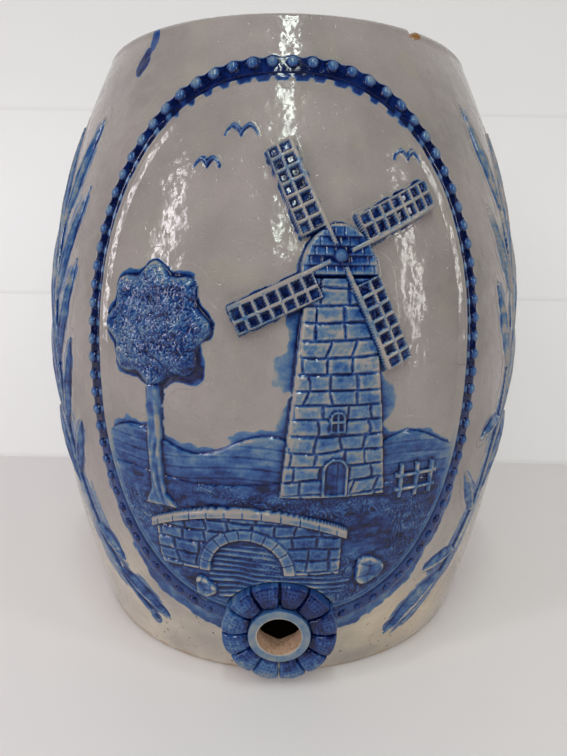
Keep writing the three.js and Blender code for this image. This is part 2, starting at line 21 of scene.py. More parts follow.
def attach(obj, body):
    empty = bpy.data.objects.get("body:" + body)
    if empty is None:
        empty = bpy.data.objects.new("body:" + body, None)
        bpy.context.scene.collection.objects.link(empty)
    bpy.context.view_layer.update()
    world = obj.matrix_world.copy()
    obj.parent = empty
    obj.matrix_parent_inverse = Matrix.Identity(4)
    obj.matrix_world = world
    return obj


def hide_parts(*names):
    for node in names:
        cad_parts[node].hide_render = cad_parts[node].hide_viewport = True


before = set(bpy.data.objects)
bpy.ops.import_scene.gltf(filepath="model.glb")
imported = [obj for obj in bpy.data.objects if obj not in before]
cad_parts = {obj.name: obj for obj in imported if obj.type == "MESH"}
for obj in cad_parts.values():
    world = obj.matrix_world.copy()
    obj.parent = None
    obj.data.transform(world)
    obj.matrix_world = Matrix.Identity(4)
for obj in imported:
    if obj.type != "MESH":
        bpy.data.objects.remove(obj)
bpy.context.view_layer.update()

MM = 0.001  # one millimetre in Blender's metres
GAP = 0.3  # the seam between two pieces, in millimetres
FAR = 1e9  # farther than any distance on the drawing
CRISP_ANGLE = math.radians(42)  # edges sharper than this aren't shaded smooth
DOUBLINGS = 4  # how often a turned wedge is doubled to make the whole turn
FINE_STEP = 0.6  # the drawing's grid in millimetres
LOG = logging.getLogger("cooler")
Array = np.ndarray
Socket = bpy.types.NodeSocket
Pair = tuple[float, float]
Triple = tuple[float, float, float]
Relief = Callable[[Array, Array, Array], Array]  # from two places and the way inside, or the like
Section = Callable[[Array, Array], tuple[Array, Array]]  # a half width and a lift


class Body(Enum):
    """The CAD bodies that pieces ride on."""

    VESSEL = "vessel"
    LID = "lid"


class Slot(Enum):
    """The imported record's material slots."""

    GREY = "grey_salt_glaze"
    PALE = "pale_cobalt"
    MID = "mid_cobalt"
    DEEP = "deep_cobalt"
    NAVY = "navy_cobalt"
    COLLAR = "collar_cobalt"


class Paint(Enum):
    """How thickly the cobalt is brushed on, from bare glaze at 0 to a navy pool at 1."""

    PALE = 0.47
    MID = 0.6
    DEEP = 0.74
    NAVY = 0.92


def smooth_step(low: float, high: float, value: Array) -> Array:
    """Rises smoothly from 0 at low to 1 at high."""
    share = np.clip((value - low) / (high - low), 0.0, 1.0)
    return share * share * (3.0 - 2.0 * share)


def blurred(layer: Array, cells: float) -> Array:
    """Blurs a layer.

    Args:
        layer: Values on a regular grid.
        cells: Standard deviation of the blur, in cells.

    Returns:
        The blurred values.
    """
    rows = np.fft.fftfreq(layer.shape[0])[:, None]
    columns = np.fft.rfftfreq(layer.shape[1])[None, :]
    gain = np.exp(-2.0 * (np.pi * cells) ** 2 * (rows**2 + columns**2))
    return np.fft.irfft2(np.fft.rfft2(layer) * gain, s=layer.shape)


def off_axis(points: Array) -> Array:
    """Returns how far points stand from the Z axis."""
    return np.hypot(points[..., 0], points[..., 1])


def lobed(middle: Array, radius: float, steps: int, lobes: int = 0, depth: float = 0.0) -> Array:
    """Draws a round outline whose edge swells into lobes.

    Args:
        middle: Its middle on the drawing.
        radius: Its radius between swell and dip.
        steps: How many corners it has.
        lobes: How many lobes it has. 0 makes a plain circle.
        depth: How far the lobes swell out.

    Returns:
        The corners, one row each.
    """
    turn = np.linspace(0, 2 * np.pi, steps, endpoint=False)
    reach = radius + depth * np.cos(lobes * turn)
    return middle + np.stack([reach * np.cos(turn), reach * np.sin(turn)], -1)


def outline_distance(arcs: Array, heights: Array, outline: Array) -> Array:
    """Measures how far points stand inside a closed outline.

    Args:
        arcs: Arcs of the points.
        heights: Heights of the points.
        outline: Corners of the outline, one row each.

    Returns:
        The distances in millimetres, positive inside and negative outside.
    """
    nearest = np.full(arcs.shape, FAR)
    inside = np.zeros(arcs.shape, bool)
    for start, end in zip(outline, np.roll(outline, -1, axis=0)):
        side = end - start
        share = ((arcs - start[0]) * side[0] + (heights - start[1]) * side[1]) / max(side @ side, 1e-12)
        share = np.clip(share, 0.0, 1.0)
        away = np.hypot(arcs - start[0] - share * side[0], heights - start[1] - share * side[1])
        nearest = np.minimum(nearest, away)
        if start[1] != end[1]:
            crosses = (start[1] > heights) != (end[1] > heights)
            inside ^= crosses & (arcs < start[0] + (heights - start[1]) * side[0] / side[1])
    return np.where(inside, nearest, -nearest)


def along_line(arcs: Array, heights: Array, line: Array) -> tuple[Array, Array, Array]:
    """Measures points against an open line on the drawing.

    Args:
        arcs: Arcs of the points.
        heights: Heights of the points.
        line: The line's points, one row each.

    Returns:
        Their distances from the line, the shares of the way along it, and the distances once more with a
        sign that says on which side of the line they are.
    """
    nearest, share, beside = np.full(arcs.shape, FAR), np.zeros(arcs.shape), np.zeros(arcs.shape)
    for index, (start, end) in enumerate(zip(line[:-1], line[1:])):
        step = end - start
        length = np.linalg.norm(step)
        part = np.clip(((arcs - start[0]) * step[0] + (heights - start[1]) * step[1]) / length**2, 0, 1)
        off_arc, off_height = arcs - start[0] - part * step[0], heights - start[1] - part * step[1]
        away = np.hypot(off_arc, off_height)
        closer = away < nearest
        nearest = np.where(closer, away, nearest)
        share = np.where(closer, (index + part) / (len(line) - 1), share)
        side = np.sign(step[0] * off_height - step[1] * off_arc)
        beside = np.where(closer, away * side, beside)
    return nearest, share, beside


@dataclass
class Grain:
    """Seeded smooth noise over the drawing, for clay and brush marks."""

    seed: int
    size: int = 128
    scatter: float = 0.4
    up_shift: tuple[int, int] = (31, 57)
    own_shift: tuple[int, int] = (11, 23)
    table: Array = field(init=False)

    def __post_init__(self) -> None:
        """Draws the lattice of random values."""
        self.table = np.random.default_rng(self.seed).uniform(-1.0, 1.0, (self.size, self.size))

    def _value(self, row: Array, column: Array, shift: tuple[int, int] = (0, 0)) -> Array:
        """Reads the lattice, which repeats, at whole steps."""
        return self.table[(row + shift[0]) % self.size, (column + shift[1]) % self.size]

    def at(self, across: Array, up: Array, cell: float, tall: float = 1.0) -> Array:
        """Reads the noise.

        Args:
            across: First coordinates in millimetres.
            up: Second coordinates in millimetres.
            cell: Size of the blobs in millimetres.
            tall: How many times taller than wide the blobs are.

        Returns:
            Values from -1 to 1.
        """
        column, row = np.asarray(across) / cell, np.asarray(up) / (cell * tall)
        left, low = np.floor(column).astype(int), np.floor(row).astype(int)
        x, y = column - left, row - low
        x, y = x * x * (3 - 2 * x), y * y * (3 - 2 * y)
        below, above = (
            self._value(low + j, left) * (1 - x) + self._value(low + j, left + 1) * x for j in (0, 1)
        )
        return below * (1 - y) + above * y

    def layered(self, across: Array, up: Array, cell: float, tall: float = 1.0) -> Array:
        """Reads three layers of the noise, each half the size and strength of the one before."""
        shares = (1.0, 0.5, 0.25)
        return sum(self.at(across, up, cell * share, tall) * share for share in shares) / sum(shares)

    def cells(self, across: Array, up: Array, cell: float) -> tuple[Array, Array]:
        """Scatters one point in each cell and measures the way to the nearest.

        Args:
            across: First coordinates in millimetres.
            up: Second coordinates in millimetres.
            cell: Size of a cell in millimetres.

        Returns:
            The distances in cells, and a value from -1 to 1 that belongs to the nearest point.
        """
        column, row = np.asarray(across) / cell, np.asarray(up) / cell
        left, low = np.floor(column).astype(int), np.floor(row).astype(int)
        nearest, own = np.full(column.shape, FAR), np.zeros(column.shape)
        for i in (-1, 0, 1):
            for j in (-1, 0, 1):
                a, b = left + i, low + j
                dot_x = a + 0.5 + self.scatter * self._value(b, a)
                dot_y = b + 0.5 + self.scatter * self._value(b, a, self.up_shift)
                away = np.hypot(column - dot_x, row - dot_y)
                closer = away < nearest
                nearest = np.where(closer, away, nearest)
                own = np.where(closer, self._value(b, a, self.own_shift), own)
        return nearest, own


@dataclass(frozen=True)
class Barrel:
    """The vessel's outside: two parabolas that meet at the belly, turned about the Z axis."""

    height: float = 350.0
    base_radius: float = 126.8
    belly_radius: float = 155.5
    rim_radius: float = 111.2
    belly_height: float = 177.0
    waver: float = 0.16

    def _ends(self, height: Array) -> tuple[Array, Array]:
        """Returns the radius at the near end and the way from the belly to it.

        Args:
            height: Heights above the underside.

        Returns:
            The radii and the ways.
        """
        low = np.asarray(height) < self.belly_height
        return (
            np.where(low, self.base_radius, self.rim_radius),
            np.where(low, self.belly_height, self.height - self.belly_height),
        )

    def radius(self, height: Array) -> Array:
        """Returns the wall's radius at a height."""
        end, reach = self._ends(height)
        return self.belly_radius - (self.belly_radius - end) * ((height - self.belly_height) / reach) ** 2

    def slope(self, height: Array) -> Array:
        """Returns how fast the radius grows with the height."""
        end, reach = self._ends(height)
        return 2 * (self.belly_radius - end) * (self.belly_height - height) / reach**2

    def hand(self, angle: Array, height: Array) -> Array:
        """Returns how far the wall falls short of its true turned form, as a pot does."""
        ripple = np.sin(3 * angle + height / 70) * np.sin(2 * angle - height / 45)
        return self.waver * (0.5 + 0.5 * ripple)

    def place(self, arc: Array, height: Array, lift: Array) -> Array:
        """Carries drawing points onto the barrel.

        Args:
            arc: Arcs round the belly.
            height: Heights above the underside.
            lift: Distances out from the wall.

        Returns:
            Points in metres, one row each.
        """
        angle = arc / self.belly_radius
        slope = self.slope(height)
        short = lift / np.sqrt(1 + slope**2)
        out = self.radius(height) - self.hand(angle, height) + short
        return np.stack([out * np.sin(angle), -out * np.cos(angle), height - short * slope], -1) * MM

    def normal(self, arc: float, height: float) -> Vector:
        """Returns the direction square out from the wall at a drawing point."""
        angle = arc / self.belly_radius
        return Vector((math.sin(angle), -math.cos(angle), -float(self.slope(height)))).normalized()

    def drawing(self, points: Array) -> tuple[Array, Array]:
        """Returns the arcs and heights of points given in metres."""
        return np.arctan2(points[:, 0], -points[:, 1]) * self.belly_radius, points[:, 2] / MM


@dataclass(frozen=True)
class Oval:
    """The medallion's bead line, a superellipse on the drawing."""

    half_width: float = 107.8
    half_height: float = 141.8
    middle: float = 182.0
    squareness: float = 2.63

    def at(self, turn: Array, inset: Array) -> tuple[Array, Array]:
        """Returns the arcs and heights at a turn, moved inwards by an inset.

        Args:
            turn: Turns round the oval's middle.
            inset: How far inside the bead line each place is.

        Returns:
            The arcs and the heights.
        """
        power = 2 / self.squareness
        across = np.sign(np.cos(turn)) * np.abs(np.cos(turn)) ** power
        up = np.sign(np.sin(turn)) * np.abs(np.sin(turn)) ** power
        return (self.half_width - inset) * across, self.middle + (self.half_height - inset) * up

    def outline(self, inset: float, steps: int = 160) -> Array:
        """Returns the oval's corners at an inset."""
        turn = np.linspace(0, 2 * np.pi, steps, endpoint=False)
        return np.stack(self.at(turn, inset), -1)

    def pictured(self, points: Sequence[Sequence[float]]) -> Array:
        """Turns percentages of the half width and half height into drawing points.

        Args:
            points: Pairs of percent across and percent up.

        Returns:
            The drawing points, one row each.
        """
        across, up = np.array(points, float).T
        return np.stack(
            [self.half_width * across / 100, self.middle + self.half_height * up / 100], -1
        )


@dataclass(frozen=True)
class TapAxis:
    """The line through the tap hole, its collar and the rosette."""

    height: float = 38.0
    lean: float = math.radians(7)
    bore_radius: float = 11.9
    rosette_radius: float = 31.4
    break_top: float = 0.45
    break_foot: float = -0.05
    break_dip: float = 0.16

    def frame(self, barrel: Barrel) -> Matrix:
        """Returns the turn and place that bring +Z onto the axis, with its foot on the wall.

        Args:
            barrel: The wall that the axis starts from.

        Returns:
            The matrix.
        """
        foot = Vector((0, -float(barrel.radius(self.height)), self.height)) * MM
        out = Vector((0, -math.cos(self.lean), -math.sin(self.lean)))
        return Matrix.Translation(foot) @ Vector((0, 0, 1)).rotation_difference(out).to_matrix().to_4x4()

    def broken(self, points: Array) -> Array:
        """Returns how far the bore's inner edge is broken away, 0 above the axis and up to 1 below it.

        Args:
            points: Points in millimetres, with the tap's axis along +Z.

        Returns:
            The shares.
        """
        beside = np.clip(np.abs(points[:, 0]) / self.bore_radius, 0, 1)
        top, foot = self.break_top * self.bore_radius, self.break_foot * self.bore_radius
        below = smooth_step(top, foot, points[:, 1])
        return (1 - self.break_dip * np.sin(np.pi * beside)) * below

    def away(self, barrel: Barrel, points: Array) -> tuple[Array, Array]:
        """Measures points against the axis.

        Args:
            barrel: The wall that the axis starts from.
            points: Points in metres.

        Returns:
            Their distances from the axis and their places along it, in millimetres.
        """
        turn = np.array(self.frame(barrel).inverted())
        local = points @ turn[:3, :3].T + turn[:3, 3]
        return off_axis(local) / MM, local[..., 2] / MM


@dataclass(frozen=True)
class Chip:
    """The chip in the rim, to the right of the front."""

    turn: float = 0.61
    radius: float = 111.0
    height: float = 349.0
    half_width: float = 4.2
    half_height: float = 3.4
    depth: float = 1.7
    stain_height: float = 347.3
    stain_size: Triple = (4.9, 4.9, 3.8)

    def bite(self, angle: Array, height: Array, grain: Grain) -> Array:
        """Returns how deep the wall is bitten away at turns and heights, in metres.

        Args:
            angle: Turns about the Z axis.
            height: Heights above the underside.
            grain: The noise of the clay.

        Returns:
            The depths in metres.
        """
        across = (angle - self.turn) * self.radius / self.half_width
        up = (height - self.height) / self.half_height
        ragged = 0.25 * grain.at(angle * self.radius, height, 1.6)
        return self.depth * MM * smooth_step(1.0, 0.2, np.hypot(across, up) + ragged)

    def stain(self) -> Vector:
        """Returns the middle of the bare clay that it shows, in metres."""
        out = self.radius
        return Vector((math.sin(self.turn) * out, -math.cos(self.turn) * out, self.stain_height)) * MM


@dataclass(frozen=True)
class Firing:
    """How far cobalt moves in the kiln, in millimetres, and how strongly."""

    fine_width: float = 0.75
    broad_width: float = 2.6
    fine_pool: float = 1.25
    broad_pool: float = 0.36
    fine_wear: float = 0.95
    broad_wear: float = 0.2
    brushed: float = 0.24
    mottled: float = 0.16
    patchy: float = 0.24


@dataclass
class Sprig:
    """One relief, worked out on a window of the front's drawing."""

    REACH_MOST: ClassVar[float] = 1.15
    SKIRT_MARGIN: ClassVar[float] = 1.6

    node: str
    slot: Slot
    rows: slice
    columns: slice
    inside: Array
    lift: Array
    paint: Array
    spread: float
    brush: Array | None = None

    @property
    def skirt(self) -> float:
        """How far the film of glaze round the sprig reaches."""
        return self.REACH_MOST * self.spread + self.SKIRT_MARGIN


@dataclass
class Front:
    """The drawing of the decorated side, on which the heights and the paint of all sprigs meet."""

    barrel: Barrel
    oval: Oval
    tap: TapAxis
    step: float = FINE_STEP
    arc_reach: float = 204.0
    low: float = 6.0
    high: float = 345.0
    foot: float = 0.25
    sunk: float = 0.05
    back: float = 1.1
    picture_inset: float = 9.4
    film: float = 0.05
    film_step: float = 0.004
    grain: Grain = field(default_factory=lambda: Grain(7))
    firing: Firing = Firing()
    sprigs: list[Sprig] = field(default_factory=list)

    def __post_init__(self) -> None:
        """Lays out the empty drawing."""
        count = int(self.arc_reach / self.step)
        self.arcs = np.arange(-count, count + 1) * self.step
        self.heights = np.arange(self.low, self.high, self.step)
        shape = (len(self.heights), len(self.arcs))
        self.lift, self.paint, self.cobalt = np.zeros(shape), np.zeros(shape), np.zeros(shape)
        grid_arcs, grid_heights = np.meshgrid(self.arcs, self.heights)
        points = self.barrel.place(grid_arcs, grid_heights, np.zeros(shape))
        away, _ = self.tap.away(self.barrel, points)
        self.clear_of_tap = away - self.tap.rosette_radius - GAP

    def window(self, corners: Array, margin: float) -> tuple[slice, slice]:
        """Returns the rows and columns round some drawing points, with a margin.

        Args:
            corners: The drawing points.
            margin: The room left round them.

        Returns:
            The rows and the columns.
        """
        low, high = corners.min(0) - margin, corners.max(0) + margin
        columns = slice(*np.searchsorted(self.arcs, [low[0], high[0]]))
        return slice(*np.searchsorted(self.heights, [low[1], high[1]])), columns

    def grid(self, rows: slice, columns: slice) -> tuple[Array, Array]:
        """Returns the arcs and heights of a window."""
        return np.meshgrid(self.arcs[columns], self.heights[rows])

    def lay(
        self,
        node: str,
        slot: Slot,
        outline: Array,
        rise: float,
        paint: Paint,
        edge: float = 1.4,
        spread: float = 1.3,
        carve: Relief | None = None,
        in_picture: bool = False,
        shade: Callable[[Array, Array], Array] | None = None,
    ) -> None:
        """Lays a sprig with a closed outline on the drawing.

        Args:
            node: The CAD node that it stands for.
            slot: The record's material slot.
            outline: Its corners.
            rise: Its height above the wall.
            paint: How thickly it is painted.
            edge: Width over which its side rounds over.
            spread: How far the paint reaches past it.
            carve: Gives the change of height from arcs, heights and the distance inside.
            in_picture: Whether the medallion's oval trims it.
            shade: Gives the change of paint from arcs and heights.
        """
        rows, columns = self.window(outline, 1.2 * spread + 3)
        arcs, heights = self.grid(rows, columns)
        inside = outline_distance(arcs, heights, outline)
        if in_picture:
            border = self.oval.outline(self.picture_inset)
            inside = np.minimum(inside, outline_distance(arcs, heights, border))
        inside = np.minimum(inside, self.clear_of_tap[rows, columns])
        side = np.clip((inside + self.foot) / edge, 0.0, 1.0)
        rounded = np.sqrt(np.maximum(0.0, 1.0 - (1.0 - side) ** 2)) ** 1.2
        lift = rise * rounded
        if carve:
            lift = lift + carve(arcs, heights, inside) * rounded
        tone = np.full(arcs.shape, paint.value)
        if shade:
            tone = tone + shade(arcs, heights)
        self.add(Sprig(node, slot, rows, columns, inside, lift, tone, spread))

    def add(self, sprig: Sprig) -> None:
        """Adds a worked sprig to the drawing, over what lies there.

        Args:
            sprig: The worked sprig.
        """
        here = (sprig.rows, sprig.columns)
        covers = (sprig.inside > -self.foot) & (sprig.lift > self.lift[here])
        self.lift[here] = np.where(covers, sprig.lift, self.lift[here])
        arcs, heights = self.grid(*here)
        cell = 3.4 if sprig.spread < 4.0 else 13.0
        ragged = self.grain.layered(arcs, heights, cell) if sprig.brush is None else sprig.brush
        reach = sprig.spread * np.clip(0.5 + 1.1 * ragged, 0.0, sprig.REACH_MOST)
        thinner = min(0.6, 0.05 * sprig.spread) * np.clip(-sprig.inside / np.maximum(reach, 1.0), 0, 1)
        film = (sprig.paint + 0.16 * ragged - 0.06) * (1 - thinner)
        halo = film * smooth_step(-reach - 0.5, -reach + 0.5, sprig.inside)
        self.paint[here] = np.where(covers, sprig.paint, np.maximum(self.paint[here], halo))
        self.sprigs.append(sprig)

    def fire(self) -> None:
        """Works out the glaze: cobalt runs off the high edges and pools in the recesses."""
        firing = self.firing
        arcs, heights = np.meshgrid(self.arcs, self.heights)
        fine = blurred(self.lift, firing.fine_width / self.step) - self.lift
        broad = blurred(self.lift, firing.broad_width / self.step) - self.lift
        brushed = self.grain.layered(arcs, heights, 10.0, 0.28)
        mottled = self.grain.layered(arcs + 90, heights, 3.2)
        patchy = self.grain.layered(arcs + 55, heights + 20, 19.0, 0.7)
        painted = smooth_step(0.02, 0.25, self.paint)
        pooled = firing.fine_pool * np.clip(fine, 0, 0.5) + firing.broad_pool * np.clip(broad, 0, 0.9)
        worn = firing.fine_wear * np.clip(-fine, 0, 0.36) + firing.broad_wear * np.clip(-broad, 0, 0.9)
        uneven = firing.brushed * brushed + firing.mottled * mottled + firing.patchy * patchy
        self.cobalt = np.clip(self.paint + painted * (pooled - worn + uneven * (0.4 + self.paint)), 0, 1)

    def model(self, sprig: Sprig, order: int) -> bpy.types.Object:
        """Builds a sprig as one closed piece with a thin skirt of glaze on the wall round it.

        Args:
            sprig: The worked sprig.
            order: Its number, which keeps overlapping skirts apart.

        Returns:
            The new object.
        """
        film = self.film + self.film_step * order
        kept = sprig.inside > -sprig.skirt
        rim = kept & (sprig.inside < -sprig.skirt + 1.2 * self.step)
        top = np.where(rim, -self.sunk, np.maximum(sprig.lift, film))
        mesh = finished_mesh(grid_slab(kept), f"glazed_{sprig.node}")
        corners = mesh_points(mesh)
        column, row = np.rint(corners[:, 0]).astype(int), np.rint(corners[:, 1]).astype(int)
        lift = np.where(corners[:, 2] > 0.5, top[row, column], -self.back)
        arcs, heights = self.arcs[sprig.columns][column], self.heights[sprig.rows][row]
        move_points(mesh, self.barrel.place(arcs, heights, lift))
        paint_points(mesh, self.cobalt[sprig.rows, sprig.columns][row, column])
        return placed(mesh)


def thicken(bm: bmesh.types.BMesh) -> None:
    """Gives a flat sheet an upper side one unit above it, and walls between.

    Args:
        bm: The mesh that is being made.
    """
    grown = bmesh.ops.extrude_face_region(bm, geom=bm.faces[:])["geom"]
    raised = [item for item in grown if isinstance(item, bmesh.types.BMVert)]
    bmesh.ops.translate(bm, verts=raised, vec=(0, 0, 1))


def grid_slab(kept: Array) -> bmesh.types.BMesh:
    """Makes a slab of unit squares, whose points stand at their columns and rows.

    Args:
        kept: Which of the grid's points it has, in rows and columns.

    Returns:
        The closed slab, from 0 to 1 along Z.
    """
    rows, columns = kept.shape
    bm = bmesh.new()
    bmesh.ops.create_grid(bm, x_segments=columns - 1, y_segments=rows - 1, size=0.5)
    flat = np.array([vertex.co[:2] for vertex in bm.verts])
    spans = np.array([columns - 1, rows - 1])
    cells = np.rint((flat - flat.min(0)) / np.ptp(flat, axis=0) * spans).astype(int)
    for vertex, cell in zip(bm.verts, cells):
        vertex.co = (cell[0], cell[1], 0.0)
    doomed = [vertex for vertex, stays in zip(bm.verts, kept[cells[:, 1], cells[:, 0]]) if not stays]
    bmesh.ops.delete(bm, geom=doomed, context="VERTS")
    loose = [vertex for vertex in bm.verts if not vertex.link_faces]
    bmesh.ops.delete(bm, geom=loose, context="VERTS")
    thicken(bm)
    bmesh.ops.recalc_face_normals(bm, faces=bm.faces[:])
    return bm


def finished_mesh(bm: bmesh.types.BMesh, name: str) -> bpy.types.Mesh:
    """Turns a bmesh into a smooth-shaded mesh and frees it.

    Args:
        bm: The mesh that is being made.
        name: The mesh's name.

    Returns:
        The new mesh.
    """
    mesh = bpy.data.meshes.new(name)
    bm.to_mesh(mesh)
    bm.free()
    mesh.shade_smooth()
    return mesh


def crisp(mesh: bpy.types.Mesh) -> bpy.types.Mesh:
    """Keeps sharp edges from being shaded smooth."""
    mesh.set_sharp_from_angle(angle=CRISP_ANGLE)
    return mesh


def mesh_points(mesh: bpy.types.Mesh) -> Array:
    """Returns a mesh's points, one row each.

    Args:
        mesh: The mesh.

    Returns:
        The points.
    """
    points = np.zeros(len(mesh.vertices) * 3, np.float32)
    mesh.vertices.foreach_get("co", points)
    return points.reshape(-1, 3).astype(float)


def move_points(mesh: bpy.types.Mesh, points: Array) -> None:
    """Puts a mesh's points at new places."""
    mesh.vertices.foreach_set("co", points.astype(np.float32).ravel())
    mesh.update()


def write_attribute(mesh: bpy.types.Mesh, name: str, values: Array) -> None:
    """Writes one value for each point under a new name."""
    attribute = mesh.attributes.new(name, "FLOAT", "POINT")
    attribute.data.foreach_set("value", np.asarray(values, np.float32))


def paint_points(
    mesh: bpy.types.Mesh, cobalt: Array, bare: Array | None = None, painted_inner_shade: Array | None = None
) -> None:
    """Writes a mesh's glaze attributes.

    Args:
        mesh: The mesh.
        cobalt: How much cobalt lies on each point, 0 to 1.
        bare: How far each point is unglazed clay, 0 to 1. None means nowhere.
        painted_inner_shade: How far each point is darkened by the painted shade of the vessel's inside, 0 to
            1. None means nowhere.
    """
    none = np.zeros(len(mesh.vertices))
    for name, values in (("cobalt", cobalt), ("bare", bare), ("painted_inner_shade", painted_inner_shade)):
        write_attribute(mesh, name, none if values is None else values)


def placed(mesh: bpy.types.Mesh) -> bpy.types.Object:
    """Puts a mesh in the scene as an object of the same name.

    Args:
        mesh: The mesh.

    Returns:
        The new object.
    """
    piece = bpy.data.objects.new(mesh.name, mesh)
    bpy.context.scene.collection.objects.link(piece)
    return piece


def turned(profile: Sequence[Sequence[float]], steps: int, name: str) -> bpy.types.Mesh:
    """Spins a profile about +Z into a closed mesh.

    Args:
        profile: Radius and height pairs in millimetres. It ends on the axis at both ends, or closes.
        steps: How many steps make the whole turn, a multiple of the number of wedges.
        name: The mesh's name.

    Returns:
        The new mesh, in metres.
    """
    bm = bmesh.new()
    corners = [bm.verts.new((radius * MM, 0, height * MM)) for radius, height in profile]
    closes = profile[0][0] > 1e-6
    ends = corners[1:] + corners[:1] if closes else corners[1:]
    edges = [bm.edges.new(pair) for pair in zip(corners, ends)]
    wedges = 2**DOUBLINGS
    wedge = 2 * math.pi / wedges
    bmesh.ops.spin(
        bm, geom=corners + edges, cent=(0, 0, 0), axis=(0, 0, 1), angle=wedge, steps=steps // wedges,
        use_merge=False, use_duplicate=False,
    )
    for doubling in range(DOUBLINGS):
        geometry = bm.verts[:] + bm.edges[:] + bm.faces[:]
        copied = bmesh.ops.duplicate(bm, geom=geometry)["geom"]
        fresh = [item for item in copied if isinstance(item, bmesh.types.BMVert)]
        turn = Matrix.Rotation(wedge * 2**doubling, 3, "Z")
        bmesh.ops.rotate(bm, cent=(0, 0, 0), matrix=turn, verts=fresh)
    bmesh.ops.remove_doubles(bm, verts=bm.verts[:], dist=2e-6)
    bmesh.ops.recalc_face_normals(bm, faces=bm.faces[:])
    return finished_mesh(bm, name)


def rounded(middle: Pair, radius: float, start: float, end: float, steps: int) -> list[Pair]:
    """Returns points on a circle from one angle to another, in degrees."""
    angles = np.radians(np.linspace(start, end, steps + 1))
    return [(middle[0] + radius * math.cos(a), middle[1] + radius * math.sin(a)) for a in angles]


def straight(start: Pair, end: Pair, steps: int) -> list[Pair]:
    """Returns evenly spaced points on a line."""
    return [tuple(point) for point in np.linspace(start, end, steps + 1)]


def smooth_line(points: Sequence[Sequence[float]], steps: int) -> list[Pair]:
    """Returns a smooth line through points, with a number of steps between each two.

    Args:
        points: The points that it passes through.
        steps: How many steps each stretch takes.

    Returns:
        The line's points.
    """
    known = np.array(points, float)
    padded = np.vstack([2 * known[0] - known[1], known, 2 * known[-1] - known[-2]])
    line = [tuple(known[0])]
    for index in range(1, len(padded) - 2):
        before, start, end, after = padded[index - 1 : index + 3]
        for share in np.linspace(0, 1, steps + 1)[1:]:
            line.append(tuple(
                0.5 * (2 * start + (end - before) * share
                + (2 * before - 5 * start + 4 * end - after) * share**2
                + (3 * start - before - 3 * end + after) * share**3)
            ))
    return line


class Recipe:
    """Adds shader nodes to one new material and links them."""

    def __init__(self, name: str) -> None:
        """Starts an empty material with the given name.

        Args:
            name: The material's name.
        """
        self.material = bpy.data.materials.new(name)
        self.material.use_nodes = True
        self.tree = self.material.node_tree
        self.tree.nodes.clear()

    def add(self, kind: str, **given: object) -> bpy.types.Node:
        """Adds a node.

        Args:
            kind: The node's type, without the ShaderNode in front.
            given: Its properties and inputs. An input's name has _ for a space, or is in_0, in_1 and so on.

        Returns:
            The new node.
        """
        node = self.tree.nodes.new(f"ShaderNode{kind}")
        for name, value in given.items():
            if hasattr(node, name):
                setattr(node, name, value)
                continue
            self._give(node, int(name[3:]) if name.startswith("in_") else name.replace("_", " "), value)
        return node

    def _give(self, node: bpy.types.Node, key: int | str, value: object) -> None:
        """Links a socket to a node's input, or sets the input to a value.

        Args:
            node: The node.
            key: The input's number or name.
            value: A socket, or a plain value.
        """
        if isinstance(value, Socket):
            self.tree.links.new(value, node.inputs[key])
        else:
            node.inputs[key].default_value = value

    def math(self, operation: str, *values: object, clamp: bool = False) -> Socket:
        """Adds a Math node and returns its output."""
        given = {f"in_{index}": value for index, value in enumerate(values)}
        return self.add("Math", operation=operation, use_clamp=clamp, **given).outputs[0]

    def band(self, value: Socket, low: float, high: float) -> Socket:
        """Returns a smooth rise from 0 at low to 1 at high."""
        node = self.add("MapRange", interpolation_type="SMOOTHSTEP", in_0=value, in_1=low, in_2=high)
        return node.outputs[0]

    def noise(self, where: Socket, scale: float, detail: float = 2.0, rough: float = 0.5) -> Socket:
        """Adds a noise texture and returns its value, about 0.5 in the middle."""
        node = self.add("TexNoise", Vector=where, Scale=scale, Detail=detail, Roughness=rough)
        return node.outputs["Fac"]

    def mix(self, share: object, first: object, second: object) -> Socket:
        """Mixes two colours and returns the result.

        Args:
            share: How much of the second shows.
            first: The first colour.
            second: The second colour.

        Returns:
            The mixed colour.
        """
        node = self.add("Mix", data_type="RGBA", clamp_factor=True)
        for key, value in ((0, share), (6, first), (7, second)):
            self._give(node, key, value)
        return node.outputs[2]

    def ramp(self, value: Socket, stops: Sequence[tuple[float, str]]) -> Socket:
        """Adds a colour ramp with stops of place and sRGB hex, and returns its colour.

        Args:
            value: The socket that is read through the ramp.
            stops: Places and sRGB hex colours.

        Returns:
            The ramp's colour.
        """
        node = self.add("ValToRGB", Fac=value)
        elements = node.color_ramp.elements
        while len(elements) < len(stops):
            elements.new(1.0)
        for element, (place, tone) in zip(elements, stops):
            element.position, element.color = place, linear(tone)
        return node.outputs[0]


def linear(tone: str) -> tuple[float, float, float, float]:
    """Turns an sRGB hex colour into the linear colour that Blender takes."""
    parts = [int(tone[index : index + 2], 16) / 255 for index in (0, 2, 4)]
    return (*(p / 12.92 if p <= 0.04045 else ((p + 0.055) / 1.055) ** 2.4 for p in parts), 1.0)


@dataclass(frozen=True)
class Fleck:
    """Spots of another tone that noise scatters over the glaze."""

    scale: float
    detail: float
    low: float
    high: float
    strength: float
    tone: str


@dataclass(frozen=True)
class Drip:
    """A drop of cobalt that ran down the bare wall, from one drawing point to another."""

    start: Pair
    end: Pair
    half_width: float
    tone: float
    thickness: float = 6.0


